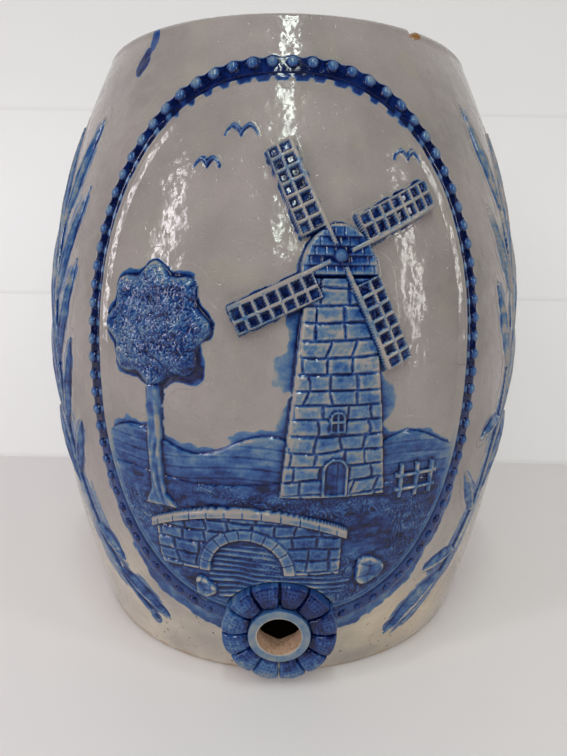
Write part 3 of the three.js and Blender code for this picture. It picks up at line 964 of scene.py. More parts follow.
@dataclass(frozen=True)
class Stains:
    """The warm and brown places on the wall's glaze, and painted bounce light low down, with heights and
    sizes in metres.
    """

    low_warmth_and_bounce_tone: str = "c2b6a4"
    low_warmth_and_bounce_heights: Pair = (0.12, 0.02)
    low_warmth_and_bounce_share: float = 0.85
    blush_tone: str = "c2a67a"
    blush_place: Pair = (98.0, 30.0)
    blush_size: Triple = (0.06, 0.06, 0.035)
    blush_share: float = 0.3
    chip_tone: str = "7d5831"
    speck_tone: str = "4a4038"
    speck_heights: Pair = (0.09, 0.01)
    foot_tone: str = "9c8263"
    foot_heights: Pair = (0.0062, 0.0036)
    foot_waver: float = 0.006


@dataclass(frozen=True)
class SaltGlaze:
    """Grey salt-glazed stoneware, with cobalt where a piece's attribute says so and bare clay likewise."""

    name: str
    ground: tuple[str, str] = ("8c8382", "7e7775")
    cobalt: tuple[tuple[float, str], ...] = (
        (0.0, "8a8684"), (0.2, "66737d"), (0.38, "486282"), (0.56, "2a4c7b"), (0.74, "193469"),
        (0.9, "0b1c4e"), (1.0, "050d30"),
    )
    flecks: tuple[Fleck, ...] = (
        Fleck(1500.0, 1.0, 0.62, 0.72, 0.35, "6f6661"),
        Fleck(1150.0, 1.0, 0.67, 0.78, 0.3, "b9b2ac"),
        Fleck(55.0, 2.0, 0.45, 0.7, 0.3, "8f8a7c"),
    )
    drips: tuple[Drip, ...] = (
        Drip((-100.2, 349.0), (-98.0, 338.0), 2.9, 0.7),
        Drip((-101.8, 338.1), (-104.1, 325.0), 4.3, 0.9),
    )
    stains: Stains = Stains()
    clay: tuple[str, str] = ("c4a28a", "7d6350")
    # painted shade: dark colours laid over the vessel's inside
    painted_inner_shade: tuple[str, str] = ("20150f", "35241a")
    fine_scale: float = 900.0
    mottle_scale: float = 160.0
    cloud_scale: float = 22.0
    ripple: float = 0.34
    swirl: float = 0.46
    waves: tuple[Pair, ...] = ((95.0, 2.9), (230.0, 0.95), (620.0, 0.16))
    pit_scale: float = 420.0
    pit_depth: float = 0.5
    roughness: float = 0.13
    clay_roughness: float = 0.6
    peel: float = 0.55
    bump_depth: float = 0.0004
    refraction: float = 1.43
    wall_marks: bool = False

    def material(self) -> bpy.types.Material:
        """Builds the material.

        Returns:
            The new material.
        """
        recipe = Recipe(self.name)
        where = recipe.add("TexCoord").outputs["Object"]
        fine = recipe.noise(where, self.fine_scale, 3.0, 0.6)
        mottle = recipe.noise(where, self.mottle_scale, 3.0, 0.6)
        cloud = recipe.noise(where, self.cloud_scale, 3.0, 0.55)
        cobalt = recipe.add("Attribute", attribute_name="cobalt").outputs["Fac"]
        bare = recipe.add("Attribute", attribute_name="bare").outputs["Fac"]
        if self.wall_marks:
            cobalt = recipe.math("MAXIMUM", cobalt, self._drips(recipe, where, mottle))
        colour = self._painted(recipe, self._ground(recipe, where, cloud), cobalt, fine, mottle)
        if self.wall_marks:
            # painted shade: the vessel's inside is darkened by colour
            brown = recipe.mix(mottle, linear(self.painted_inner_shade[0]), linear(self.painted_inner_shade[1]))
            colour = recipe.mix(recipe.add("Attribute", attribute_name="painted_inner_shade").outputs["Fac"], colour, brown)
        colour = recipe.mix(bare, colour, self._raw_clay(recipe, fine, mottle))
        relief = self._relief(recipe, where)
        gloss = recipe.math("MULTIPLY_ADD", mottle, 0.2, self.roughness - 0.1)
        rough = recipe.math("ADD", gloss, recipe.math("MULTIPLY", bare, self.clay_roughness), clamp=True)
        shader = recipe.add("BsdfPrincipled", Base_Color=colour, Roughness=rough, IOR=self.refraction,
                            Normal=relief)
        recipe.add("OutputMaterial", Surface=shader.outputs[0])
        return recipe.material

    def _ground(self, recipe: Recipe, where: Socket, cloud: Socket) -> Socket:
        """Returns the colour of the clear glaze over grey clay, with its stains and flecks.

        Args:
            recipe: The material's recipe.
            where: The place on the object.
            cloud: The largest noise.

        Returns:
            The colour.
        """
        ground = recipe.mix(recipe.band(cloud, 0.35, 0.68), linear(self.ground[0]), linear(self.ground[1]))
        ground = self._stained(recipe, where, ground)
        for fleck in self.flecks:
            spots = recipe.band(recipe.noise(where, fleck.scale, fleck.detail), fleck.low, fleck.high)
            ground = recipe.mix(recipe.math("MULTIPLY", spots, fleck.strength), ground, linear(fleck.tone))
        return ground

    def _painted(
        self, recipe: Recipe, ground: Socket, cobalt: Socket, fine: Socket, mottle: Socket
    ) -> Socket:
        """Lays the cobalt over the ground, uneven where it is thick.

        Args:
            recipe: The material's recipe.
            ground: The colour under it.
            cobalt: How much cobalt there is.
            fine: The finest noise.
            mottle: The coarser noise.

        Returns:
            The colour.
        """
        painted = recipe.band(cobalt, 0.03, 0.3)
        ripple = recipe.math("MULTIPLY_ADD", fine, self.ripple, -self.ripple / 2)
        swirl = recipe.math("MULTIPLY_ADD", mottle, self.swirl, -self.swirl / 2)
        uneven = recipe.math("MULTIPLY", recipe.math("ADD", ripple, swirl), painted)
        level = recipe.math("ADD", cobalt, uneven, clamp=True)
        return recipe.mix(painted, ground, recipe.ramp(level, self.cobalt))

    def _raw_clay(self, recipe: Recipe, fine: Socket, mottle: Socket) -> Socket:
        """Returns the colour of bare fired clay.

        Args:
            recipe: The material's recipe.
            fine: The finest noise.
            mottle: The coarser noise.

        Returns:
            The colour.
        """
        grain = recipe.band(fine, 0.35, 0.65)
        share = recipe.math("MULTIPLY_ADD", mottle, 0.5, recipe.math("MULTIPLY", grain, 0.5))
        return recipe.mix(share, linear(self.clay[0]), linear(self.clay[1]))

    def _relief(self, recipe: Recipe, where: Socket) -> Socket:
        """Returns the shading normal of the orange-peel surface with its pits.

        Args:
            recipe: The material's recipe.
            where: The place on the object.

        Returns:
            The normal.
        """
        pits = recipe.band(recipe.noise(where, self.pit_scale, 0.0), 0.72, 0.78)
        height = 0.0
        for scale, depth in self.waves:
            height = recipe.math("MULTIPLY_ADD", recipe.noise(where, scale, 1.0), depth, height)
        height = recipe.math("SUBTRACT", height, recipe.math("MULTIPLY", pits, self.pit_depth))
        bump = recipe.add("Bump", Strength=self.peel, Distance=self.bump_depth, Height=height)
        return bump.outputs[0]

    def _spot(self, recipe: Recipe, where: Socket, middle: Vector, turn: Quaternion, size: Vector) -> Socket:
        """Returns a distance from the middle of an ellipsoid, 1 at its surface.

        Args:
            recipe: The material's recipe.
            where: The place on the object.
            middle: Its middle.
            turn: The turn of the ellipsoid.
            size: Half sizes in metres.

        Returns:
            The distance.
        """
        node = recipe.add("Mapping", vector_type="TEXTURE", Vector=where)
        node.inputs["Location"].default_value = middle
        node.inputs["Rotation"].default_value = turn.to_euler()
        node.inputs["Scale"].default_value = size
        return recipe.add("VectorMath", operation="LENGTH", in_0=node.outputs[0]).outputs["Value"]

    def _drips(self, recipe: Recipe, where: Socket, mottle: Socket) -> Socket:
        """Returns the cobalt of the run and the blob that fell beside the medallion.

        Args:
            recipe: The material's recipe.
            where: The place on the object.
            mottle: The noise that makes the edges ragged.

        Returns:
            The cobalt.
        """
        barrel, drips = Barrel(), None
        for drip in self.drips:
            line = np.array([drip.start, drip.end])
            ends = barrel.place(*line.T, np.zeros(2))
            along = Vector(ends[1] - ends[0])
            middle = Vector(ends.mean(0))
            out = barrel.normal(*line.mean(0))
            side = out.cross(along).normalized()
            axes = Matrix((along.normalized(), side, out)).transposed()
            size = Vector((along.length * 0.62, drip.half_width * MM, drip.thickness * MM))
            reach = self._spot(recipe, where, middle, axes.to_quaternion(), size)
            ragged = recipe.math("MULTIPLY_ADD", mottle, 0.7, recipe.math("SUBTRACT", reach, 0.35))
            drop = recipe.math("MULTIPLY", recipe.band(ragged, 1.08, 0.86), drip.tone)
            drips = drop if drips is None else recipe.math("MAXIMUM", drips, drop)
        return drips

    def _stained(self, recipe: Recipe, where: Socket, ground: Socket) -> Socket:
        """Warms and lightens the glaze low down, partly a stain and partly painted bounce light from the
        table, and browns it at the chip and along the foot.

        Args:
            recipe: The material's recipe.
            where: The place on the object.
            ground: The colour so far.

        Returns:
            The stained colour.
        """
        stains, chip = self.stains, Chip()
        height = recipe.add("SeparateXYZ", Vector=where).outputs["Z"]
        cloud = recipe.noise(where, 30.0, 2.0)
        # low down: a warm stain and painted bounce light from the table, both lightening the glaze
        low = recipe.math("MULTIPLY", recipe.band(height, *stains.low_warmth_and_bounce_heights), recipe.band(cloud, 0.1, 0.8))
        ground = recipe.mix(recipe.math("MULTIPLY", low, stains.low_warmth_and_bounce_share), ground, linear(stains.low_warmth_and_bounce_tone))
        warm = Vector(Barrel().place(*np.array([stains.blush_place]).T, np.zeros(1))[0])
        reach = self._spot(recipe, where, warm, Quaternion(), Vector(stains.blush_size))
        blush = recipe.math("MULTIPLY", recipe.band(reach, 1.1, 0.2), stains.blush_share)
        ground = recipe.mix(blush, ground, linear(stains.blush_tone))
        reach = self._spot(recipe, where, chip.stain(), Quaternion(), Vector(chip.stain_size) * MM)
        ragged = recipe.noise(where, 500.0)
        broken = recipe.math("MULTIPLY_ADD", ragged, 1.2, recipe.math("SUBTRACT", reach, 0.6))
        ground = recipe.mix(recipe.band(broken, 1.05, 0.8), ground, linear(stains.chip_tone))
        specks = recipe.band(recipe.noise(where, 330.0, 1.0), 0.71, 0.75)
        specks = recipe.math("MULTIPLY", specks, recipe.band(height, *stains.speck_heights))
        ground = recipe.mix(specks, ground, linear(stains.speck_tone))
        foot = recipe.math("MULTIPLY_ADD", recipe.noise(where, 120.0), stains.foot_waver, height)
        return recipe.mix(recipe.band(foot, *stains.foot_heights), ground, linear(stains.foot_tone))


@dataclass(frozen=True)
class StudioPaint:
    """Matt pale paint for the table and the wall behind."""

    name: str
    tone: str
    boards: float = 0.0

    def material(self) -> bpy.types.Material:
        """Builds the material. A wall of boards darkens towards its top as painted shade, and shows only from
        its front.

        Returns:
            The new material.
        """
        recipe = Recipe(self.name)
        where = recipe.add("TexCoord").outputs["Object"]
        cloud = recipe.noise(where, 3.0, 3.0)
        colour = recipe.mix(recipe.math("MULTIPLY", cloud, 0.12), linear(self.tone), linear("b9b4b0"))
        if self.boards:
            height = recipe.add("SeparateXYZ", Vector=where).outputs["Z"]
            share = recipe.math("FRACT", recipe.math("DIVIDE", height, self.boards))
            line = recipe.math("MULTIPLY", recipe.band(share, 0.03, 0.0), 0.18)
            colour = recipe.mix(line, colour, linear("a8a4a2"))
            # painted shade: the wall grows darker towards its top
            upper = recipe.math("MULTIPLY", recipe.band(height, 0.22, 0.5), 0.5)
            colour = recipe.mix(upper, colour, linear("b6b3b3"))
        shader = recipe.add("BsdfPrincipled", Base_Color=colour, Roughness=0.6)
        surface = shader.outputs[0]
        if self.boards:
            behind = recipe.add("NewGeometry").outputs["Backfacing"]
            clear = recipe.add("BsdfTransparent").outputs[0]
            surface = recipe.add("MixShader", in_0=behind, in_1=surface, in_2=clear).outputs[0]
        recipe.add("OutputMaterial", Surface=surface)
        return recipe.material


@dataclass
class Glazes:
    """Every finish of the cooler, made once."""

    made: dict[str, bpy.types.Material] = field(default_factory=dict)

    def dress(
        self, piece: bpy.types.Object, slot: Slot, body: Body, node: str, wall_marks: bool = False
    ) -> None:
        """Gives a piece its glaze, hangs it on its CAD body and hides the CAD node that it replaces.

        Args:
            piece: The new piece.
            slot: The record's material slot that it takes its finish from.
            body: The CAD body that it rides on.
            node: The CAD node that it replaces.
            wall_marks: Whether it carries the drips and stains of the wall, and the painted shade inside the
                vessel.
        """
        name = "vessel_salt_glaze" if wall_marks else slot.value
        if name not in self.made:
            self.made[name] = SaltGlaze(name=name, wall_marks=wall_marks).material()
        piece.data.materials.clear()
        piece.data.materials.append(self.made[name])
        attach(piece, body.value)
        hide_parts(node)
        LOG.info("%s: %d faces on %s", piece.name, len(piece.data.polygons), body.value)


@dataclass
class Vessel:
    """The barrel with its rim, lid ledge, floor and bored tap hole."""

    barrel: Barrel
    tap: TapAxis
    wall: float = 11.0
    floor: float = 13.0
    foot_rounding: float = 3.0
    rim_rounding: float = 4.0
    mouth_radius: float = 99.0
    mouth_rounding: float = 1.8
    ledge_height: float = 338.0
    ledge_radius: float = 89.0
    ledge_thickness: float = 7.0
    shoulder: float = 315.0
    corner: float = 9.0
    break_depth: float = 10.2
    break_spread: float = 1.35
    turn_steps: int = 304
    wall_rings: int = 150
    chip: Chip = Chip()

    def _outer(self, height: float) -> float:
        """Returns the outer radius at a height."""
        return float(self.barrel.radius(height))

    def _inner(self, height: float) -> float:
        """Returns the inner radius at a height."""
        return self._outer(height) - self.wall

    def profile(self) -> list[Pair]:
        """Returns the half section, from the middle of the underside round to the middle of the floor.

        Returns:
            The corners.
        """
        foot, rim, lip, top = self.foot_rounding, self.rim_rounding, self.mouth_rounding, self.barrel.height
        mouth, ledge, rest = self.mouth_radius, self.ledge_radius, self.ledge_height
        under = rest - self.ledge_thickness
        bend = self.floor + self.corner
        middle = self._inner(bend) - self.corner
        outside = [(self._outer(z), z) for z in np.linspace(foot, top - rim, self.wall_rings)]
        inside = [(self._inner(z), z) for z in np.linspace(self.shoulder, bend, 40)]
        shoulder = [(ledge + 3, under - 2), (self._inner(self.shoulder) - 7, self.shoulder + 4), inside[0]]
        return [
            *straight((0, 0), (self._outer(foot) - foot - 1.5, 0), 14),
            *rounded((self._outer(foot) - foot, foot), foot, -90, 0, 6)[:-1],
            *outside,
            *rounded((self._outer(top - rim) - rim, top - rim), rim, 0, 90, 8)[1:],
            *rounded((mouth + lip, top - lip), lip, 90, 180, 4),
            (mouth, rest + 1.0), (mouth - 0.8, rest),
            *straight((mouth - 2, rest), (ledge + 1, rest), 3),
            (ledge, rest - 1), (ledge, under + 1), (ledge + 0.8, under),
            *smooth_line(shoulder, 4)[:-1],
            *inside,
            *rounded((middle, bend), self.corner, 0, -90, 6)[1:],
            *straight((middle - 2, self.floor), (0, self.floor), 12),
        ]

    def build(self, front: Front) -> bpy.types.Object:
        """Builds the glazed barrel.

        Args:
            front: The drawing, whose noise roughens the chip.

        Returns:
            The new object.
        """
        mesh = turned(self.profile(), self.turn_steps, "glazed_vessel_body")
        points = mesh_points(mesh)
        out = off_axis(points)
        angle = np.arctan2(points[:, 0], -points[:, 1])
        height = points[:, 2] / MM
        on_wall = out / MM > self.barrel.radius(height) - 1.5
        short = self.barrel.hand(angle, height) * np.where(on_wall, 1.0, 0.5) * MM
        bite = self.chip.bite(angle, height, front.grain)
        scale = np.where(out > 1e-6, (out - short - bite) / np.maximum(out, 1e-6), 1.0)
        points[:, :2] *= scale[:, None]
        points[:, 2] -= 0.5 * bite
        move_points(mesh, points)
        piece = self._bored(placed(mesh))
        self._paint(piece.data)
        return piece

    def _bored(self, piece: bpy.types.Object) -> bpy.types.Object:
        """Cuts the tap hole through the front wall, with a broken inner edge.

        Args:
            piece: The barrel.

        Returns:
            The same barrel with its hole.
        """
        bore, depth = self.tap.bore_radius, -self.wall - 5.0
        profile = [(0, depth), (bore + 0.2, depth), (bore, depth + 4), (bore, 20), (0, 20)]
        mesh = turned(profile, 96, "tap_hole_cutter")
        points = mesh_points(mesh) / MM
        wedge = self.tap.broken(points)
        on_ring = (points[:, 2] < 19) & (off_axis(points) > 1)
        inner_end = on_ring & (points[:, 2] < depth + 1)
        points[:, 2] += np.where(on_ring & ~inner_end, self.break_depth * wedge, 0)
        points[:, :2] *= np.where(inner_end, 1 + self.break_spread * wedge, 1)[:, None]
        move_points(mesh, points * MM)
        mesh.transform(self.tap.frame(self.barrel))
        cutter = placed(mesh)
        cut = piece.modifiers.new("tap_hole", "BOOLEAN")
        cut.operation, cut.object, cut.solver = "DIFFERENCE", cutter, "EXACT"
        graph = bpy.context.evaluated_depsgraph_get()
        done = bpy.data.meshes.new_from_object(piece.evaluated_get(graph))
        piece.modifiers.clear()
        old = piece.data
        piece.data = done
        bpy.data.meshes.remove(old)
        bpy.data.objects.remove(cutter)
        bpy.data.meshes.remove(mesh)
        done.name = "glazed_vessel_body"
        done.shade_smooth()
        crisp(done)
        return piece

    def _paint(self, mesh: bpy.types.Mesh) -> None:
        """Writes the bare clay of the bore and the foot, and the painted shade that darkens the inside.

        Args:
            mesh: The mesh.
        """
        points = mesh_points(mesh)
        _, heights = self.barrel.drawing(points)
        out = off_axis(points) / MM
        away, along = self.tap.away(self.barrel, points)
        in_bore = (away < self.tap.bore_radius + 0.3) & (along > -5)
        inside = (out < self.barrel.radius(heights) - 0.6 * self.wall) & (heights > 0.6 * self.floor)
        # painted shade: the inside below the ledge is marked to be darkened
        painted_inner_shade = inside & (heights < self.ledge_height - self.ledge_thickness + 0.5) & ~in_bore
        bare = in_bore | (heights < 0.3)
        paint_points(mesh, np.zeros(len(points)), bare.astype(float), painted_inner_shade.astype(float))


@dataclass
class Lid:
    """The loose inset lid and its knob."""

    underside: float = 338.3
    radius: float = 97.5
    thickness: float = 9.0
    doming: float = 3.0
    edge: float = 2.0
    boss_radius: float = 87.0
    boss_depth: float = 5.0
    knob_radius: float = 18.0
    knob_neck: float = 11.0
    knob_height: float = 24.0
    peg_radius: float = 6.0
    peg_depth: float = 4.0
    ring_depth: float = 0.12
    knob_curve: tuple[Pair, ...] = (
        (0.56, 0.2), (0.62, 0.34), (0.9, 0.47), (0.998, 0.62), (0.93, 0.78), (0.74, 0.885), (0.44, 0.95),
        (0.38, 0.925), (0.3, 0.965), (0.12, 0.998),
    )

    def build_disc(self) -> bpy.types.Object:
        """Builds the lid, with the faint rings that turning leaves on its top.

        Returns:
            The new object.
        """
        base, top = self.underside, self.underside + self.thickness
        crown = top + self.doming
        inner = self.knob_neck + 2.0
        reach = self.radius - self.edge
        dome = []
        for share in np.linspace(0, 1, 70)[1:]:
            ring = self.ring_depth * math.sin(share * 60) * math.sin(math.pi * share)
            lift = top + self.doming * math.sin(share * math.pi / 2) + ring - self.ring_depth
            dome.append((reach + (inner - reach) * share, lift))
        boss, under, socket = self.boss_radius, base - self.boss_depth, self.peg_radius + GAP
        profile = [
            *straight((0, under), (boss - 1.5, under), 16),
            *rounded((boss - 1, under + 1), 1, -90, 0, 3),
            (boss, base - 0.8),
            *straight((boss + 0.6, base), (self.radius - 1.2, base), 5),
            *rounded((self.radius - 0.8, base + 0.8), 0.8, -60, 0, 2),
            *rounded((self.radius - self.edge, top - self.edge), self.edge, 0, 90, 6),
            *dome,
            (socket + 1, crown - 0.05), (socket, crown - 0.6),
            (socket, crown - self.peg_depth), (0, crown - self.peg_depth - GAP),
        ]
        mesh = turned(profile, 208, "glazed_lid")
        self._weather(mesh)
        return placed(mesh)

    def build_knob(self) -> bpy.types.Object:
        """Builds the mushroom knob with a small turned button on top.

        Returns:
            The new object.
        """
        crown = self.underside + self.thickness + self.doming
        seat = crown + 0.05
        height = self.knob_height + GAP - 0.12
        neck, wide = self.knob_neck, self.knob_radius
        curve = [(wide * out, seat + height * up) for out, up in self.knob_curve]
        outside = smooth_line(
            [(neck + 0.6, seat), (neck - 0.9, seat + height * 0.1), *curve, (0, seat + height)], 5
        )
        profile = [
            *straight((0, crown - self.peg_depth), (self.peg_radius, crown - self.peg_depth), 3),
            *straight((self.peg_radius, crown - 2), (neck, crown - 0.3), 3),
            *outside[:-1],
            (0, seat + height),
        ]
        mesh = turned(profile, 128, "glazed_lid_knob")
        self._weather(mesh)
        return placed(mesh)

    def _weather(self, mesh: bpy.types.Mesh) -> None:
        """Leaves the lid grey, with bare clay under it where it rests.

        Args:
            mesh: The mesh.
        """
        points = mesh_points(mesh)
        heights = points[:, 2] / MM
        rests = (heights < self.underside + 0.4) & (off_axis(points) / MM > self.boss_radius - 3)
        paint_points(mesh, np.zeros(len(heights)), np.where(rests, 0.8, 0.0))


@dataclass(frozen=True)
class PetalPlaces:
    """Where the rosette's points lie on its petals, one value for each point.

    The way across is 0 in a groove and 1 along a petal's middle, and the share is 0 beside the collar and
    1 at the outer edge. The others are 1 in the grooves, in the strokes, on the face and along the rim.
    """

    across: Array
    share: Array
    groove: Array
    strokes: Array
    face: Array
    rim: Array


@dataclass(frozen=True)
class PetalPaint:
    """How thickly cobalt lies on the petals, and what each of their parts adds or takes away."""

    level: float = 0.78
    upwards: float = 0.2
    rightwards: float = 0.16
    foot: float = 0.16
    clouds: float = 0.28
    least: float = 0.42
    most: float = 0.92
    groove: float = 0.28
    strokes: float = 0.5
    inner: float = 0.26
    crest: float = 0.16
    rim: float = 0.24
    slips: float = 0.75
    side: float = 0.8


@dataclass
class TapSeat:
    """The rosette of petals and the plain collar round the empty tap hole."""

    barrel: Barrel
    tap: TapAxis
    collar_width: float = 5.0
    collar_gap: float = 0.15
    collar_proud: float = 9.7
    edge_proud: float = 5.7
    crown: float = 3.6
    inner_dip: float = 1.5
    petals: int = 12
    groove_depth: float = 2.3
    groove_width: float = 0.62
    root: float = -8.0
    dash_pitch: float = 1.75
    dash_radius: float = 25.0
    dash_depth: float = 0.42
    dash_shift: float = 0.9
    row_pitch: float = 2.2
    pillow: float = 1.15
    lumps: float = 0.3
    scallop: float = 0.035
    steps_per_petal: int = 40
    paint: PetalPaint = PetalPaint()

    def _rosette_profile(self, inner: float, outer: float, top: float) -> list[Pair]:
        """Returns the closed section of the ring of petals, before the petals are pressed into it.

        Args:
            inner: Its inner radius.
            outer: Its outer radius.
            top: How far its crown stands out.

        Returns:
            The corners.
        """
        span, edge = outer - inner, self.edge_proud
        over = smooth_line([
            (outer, edge - 2.2), (outer, edge), (outer - 0.5, edge + 1.6), (outer - 1.9, top - 1.0),
            (inner + span * 0.6, top), (inner + span * 0.2, top - 0.5), (inner, top - self.inner_dip),
        ], 9)
        return [
            *straight((inner, self.root), (outer, self.root), 6),
            *straight((outer, self.root + 2), (outer, 1.5), 6),
            *over,
            *straight((inner, top - 4), (inner, self.root + 3), 5),
        ]

    def build_rosette(self, grain: Grain) -> bpy.types.Object:
        """Builds the ring of pillowed petals with their rows of small strokes.

        Args:
            grain: The noise of the clay and the brush.

        Returns:
            The new object.
        """
        inner = self.tap.bore_radius + self.collar_width + self.collar_gap
        outer = self.tap.rosette_radius
        top = self.edge_proud + self.crown
        profile = self._rosette_profile(inner, outer, top)
        mesh = turned(profile, self.steps_per_petal * self.petals, "glazed_tap_rosette")
        points = mesh_points(mesh) / MM
        petal = self._measured(points, inner, outer)
        points = self._pressed(points, petal, top, grain)
        tone = self._petal_tone(points, petal, grain)
        move_points(mesh, points * MM)
        mesh.transform(self.tap.frame(self.barrel))
        paint_points(mesh, tone)
        return placed(mesh)

    def _measured(self, points: Array, inner: float, outer: float) -> PetalPlaces:
        """Measures where the ring's points lie on the petals.

        Args:
            points: The points in millimetres, with the tap's axis along +Z.
            inner: The ring's inner radius.
            outer: Its outer radius.

        Returns:
            The measures.
        """
        out, angle = off_axis(points), np.arctan2(points[:, 1], points[:, 0])
        pitch = 2 * np.pi / self.petals
        turn = (angle + pitch / 2) % pitch - pitch / 2
        beside = np.abs(turn) * out
        across = np.abs(turn) / (pitch / 2)
        share = (out - inner) / (outer - inner)
        row = (out - inner) / self.row_pitch
        ring_row = np.cos(2 * np.pi * row)
        shift = self.dash_shift * np.round(row)
        stroke = np.cos(2 * np.pi * turn * self.dash_radius / self.dash_pitch + shift)
        strokes = np.clip(ring_row, 0, 1) * np.clip(stroke, 0, 1) * smooth_step(0.12, 0.3, across)
        strokes *= smooth_step(0.05, 0.2, share) * smooth_step(0.97, 0.85, share)
        groove = np.exp(-((beside / self.groove_width) ** 2))
        face = smooth_step(self.edge_proud - 4.0, self.edge_proud + 1.5, points[:, 2])
        rim = smooth_step(0.9, 1.0, share) * smooth_step(0.0, 2.0, points[:, 2])
        return PetalPlaces(across, share, groove, strokes, face, rim)

    def _pressed(self, points: Array, petal: PetalPlaces, top: float, grain: Grain) -> Array:
        """Presses the grooves, the pillows and the strokes into the ring.

        Args:
            points: The points in millimetres, with the tap's axis along +Z.
            petal: Where they lie on the petals.
            top: How far the ring's crown stands out.
            grain: The noise of the clay.

        Returns:
            The points in their new places.
        """
        pressed = points.copy()
        lumpy = self.lumps * grain.layered(points[:, 0] + 50, points[:, 1], 3.4)
        pillow = self.pillow * (1 - petal.across) ** 2.4
        fade = 0.75 + 0.25 * smooth_step(-0.6, 0.4, points[:, 1] / self.tap.rosette_radius)
        grooves = self.groove_depth * fade * petal.groove
        sink = petal.face * (grooves + pillow + self.dash_depth * petal.strokes - lumpy)
        pressed[:, 2] = np.minimum(points[:, 2] - sink, top - 0.05)
        scallop = self.scallop * petal.groove + 0.012 * (1 - petal.across) ** 2
        pressed[:, :2] *= (1 - petal.rim * scallop)[:, None]
        return pressed

    def _petal_tone(self, points: Array, petal: PetalPlaces, grain: Grain) -> Array:
        """Works out the cobalt on the petals: thick in the grooves, worn on the crests and the rim.

        Args:
            points: The pressed points in millimetres, with the tap's axis along +Z.
            petal: Where they lie on the petals.
            grain: The noise of the brush.

        Returns:
            The cobalt, 0 to 1.
        """
        paint, outer = self.paint, self.tap.rosette_radius
        up = points[:, 1] / outer
        tone = paint.level + paint.upwards * up + paint.rightwards * points[:, 0] / outer
        tone -= paint.foot * smooth_step(-0.45, -0.95, up)
        clouds = paint.clouds * grain.layered(points[:, 0], points[:, 1], 7.0)
        tone += clouds + paint.clouds * grain.layered(points[:, 1], points[:, 0], 2.0)
        tone = np.clip(tone, paint.least, paint.most)
        slips = petal.groove * smooth_step(0.35, 0.1, np.abs(points[:, 0]) / outer) * (up < -0.4)
        crest = smooth_step(0.2, 0.7, petal.across) * smooth_step(0.45, 0.62, petal.share)
        crest *= smooth_step(0.98, 0.8, petal.share)
        pooled = paint.groove * petal.groove + paint.strokes * petal.strokes
        tone += petal.face * (pooled + paint.inner * smooth_step(0.3, 0.0, petal.share) - paint.crest * crest)
        tone -= paint.rim * petal.rim * (1 - petal.groove) + paint.slips * slips
        side_pool = smooth_step(3.0, -1.0, points[:, 2]) * (petal.share > 0.9)
        tone = np.where(side_pool > 0, np.maximum(tone, paint.side * side_pool), tone)
        return np.clip(tone, 0, 1)

    def build_collar(self, grain: Grain) -> bpy.types.Object:
        """Builds the plain ring, with bare clay inside its bore.

        Args:
            grain: The noise of the clay.

        Returns:
            The new object.
        """
        bore, outer = self.tap.bore_radius, self.tap.bore_radius + self.collar_width
        proud = self.collar_proud
        profile = [
            *straight((bore, self.root), (outer, self.root), 3),
            *straight((outer, self.root + 2), (outer, proud - 1.2), 8),
            *rounded((outer - 0.7, proud - 0.7), 0.7, 20, 90, 4),
            *straight((outer - 1.1, proud), (bore + 0.7, proud), 6),
            *rounded((bore + 0.35, proud - 0.35), 0.35, 100, 180, 3),
            *straight((bore, proud - 1), (bore, self.root + 1), 12),
        ]
        mesh = turned(profile, 176, "glazed_tap_collar")
        points = mesh_points(mesh) / MM
        out = off_axis(points)
        flat = smooth_step(proud - 1.0, proud - 0.2, points[:, 2])
        points[:, 2] += flat * 0.08 * grain.layered(points[:, 0], points[:, 1] + 40, 3.5) - 0.22 * flat
        points[:, 2] *= np.where(points[:, 2] < 0, 1 - 0.79 * self.tap.broken(points), 1)
        bare = np.where((out < bore + 0.15) & (points[:, 2] < proud - 0.5), 1.0, 0.0)
        tone = 0.27 + 0.08 * grain.layered(points[:, 0], points[:, 1], 5.0)
        tone += 0.3 * smooth_step(outer - 0.5, outer, out) - 0.14 * smooth_step(bore + 1.0, bore + 0.3, out)
        move_points(mesh, points * MM)
        mesh.transform(self.tap.frame(self.barrel))
        paint_points(mesh, np.clip(tone, 0, 1) * (1 - bare), bare)
        return placed(crisp(mesh))


@dataclass(frozen=True)
class BorderPaint:
    """How thickly cobalt lies on the beads, the band between them and the fillet, where it is worn, and the
    pale spokes that are partly painted highlight.
    """

    bead: float = 0.49
    bead_low: float = 0.28
    bead_stray: float = 0.1
    bead_foot: float = 0.98
    ring_wear: float = 0.16
    band: float = 1.0
    band_low: float = 0.24
    band_clouds: float = 0.12
    spoke_wear_and_glint_share: float = 0.62
    stroke: float = 0.58
    stroke_reach: float = 7.6
    channel: float = 0.97
    channel_edge: float = 4.9
    beside: float = 0.66
    inward: float = 0.74
    crest_wear: float = 0.4


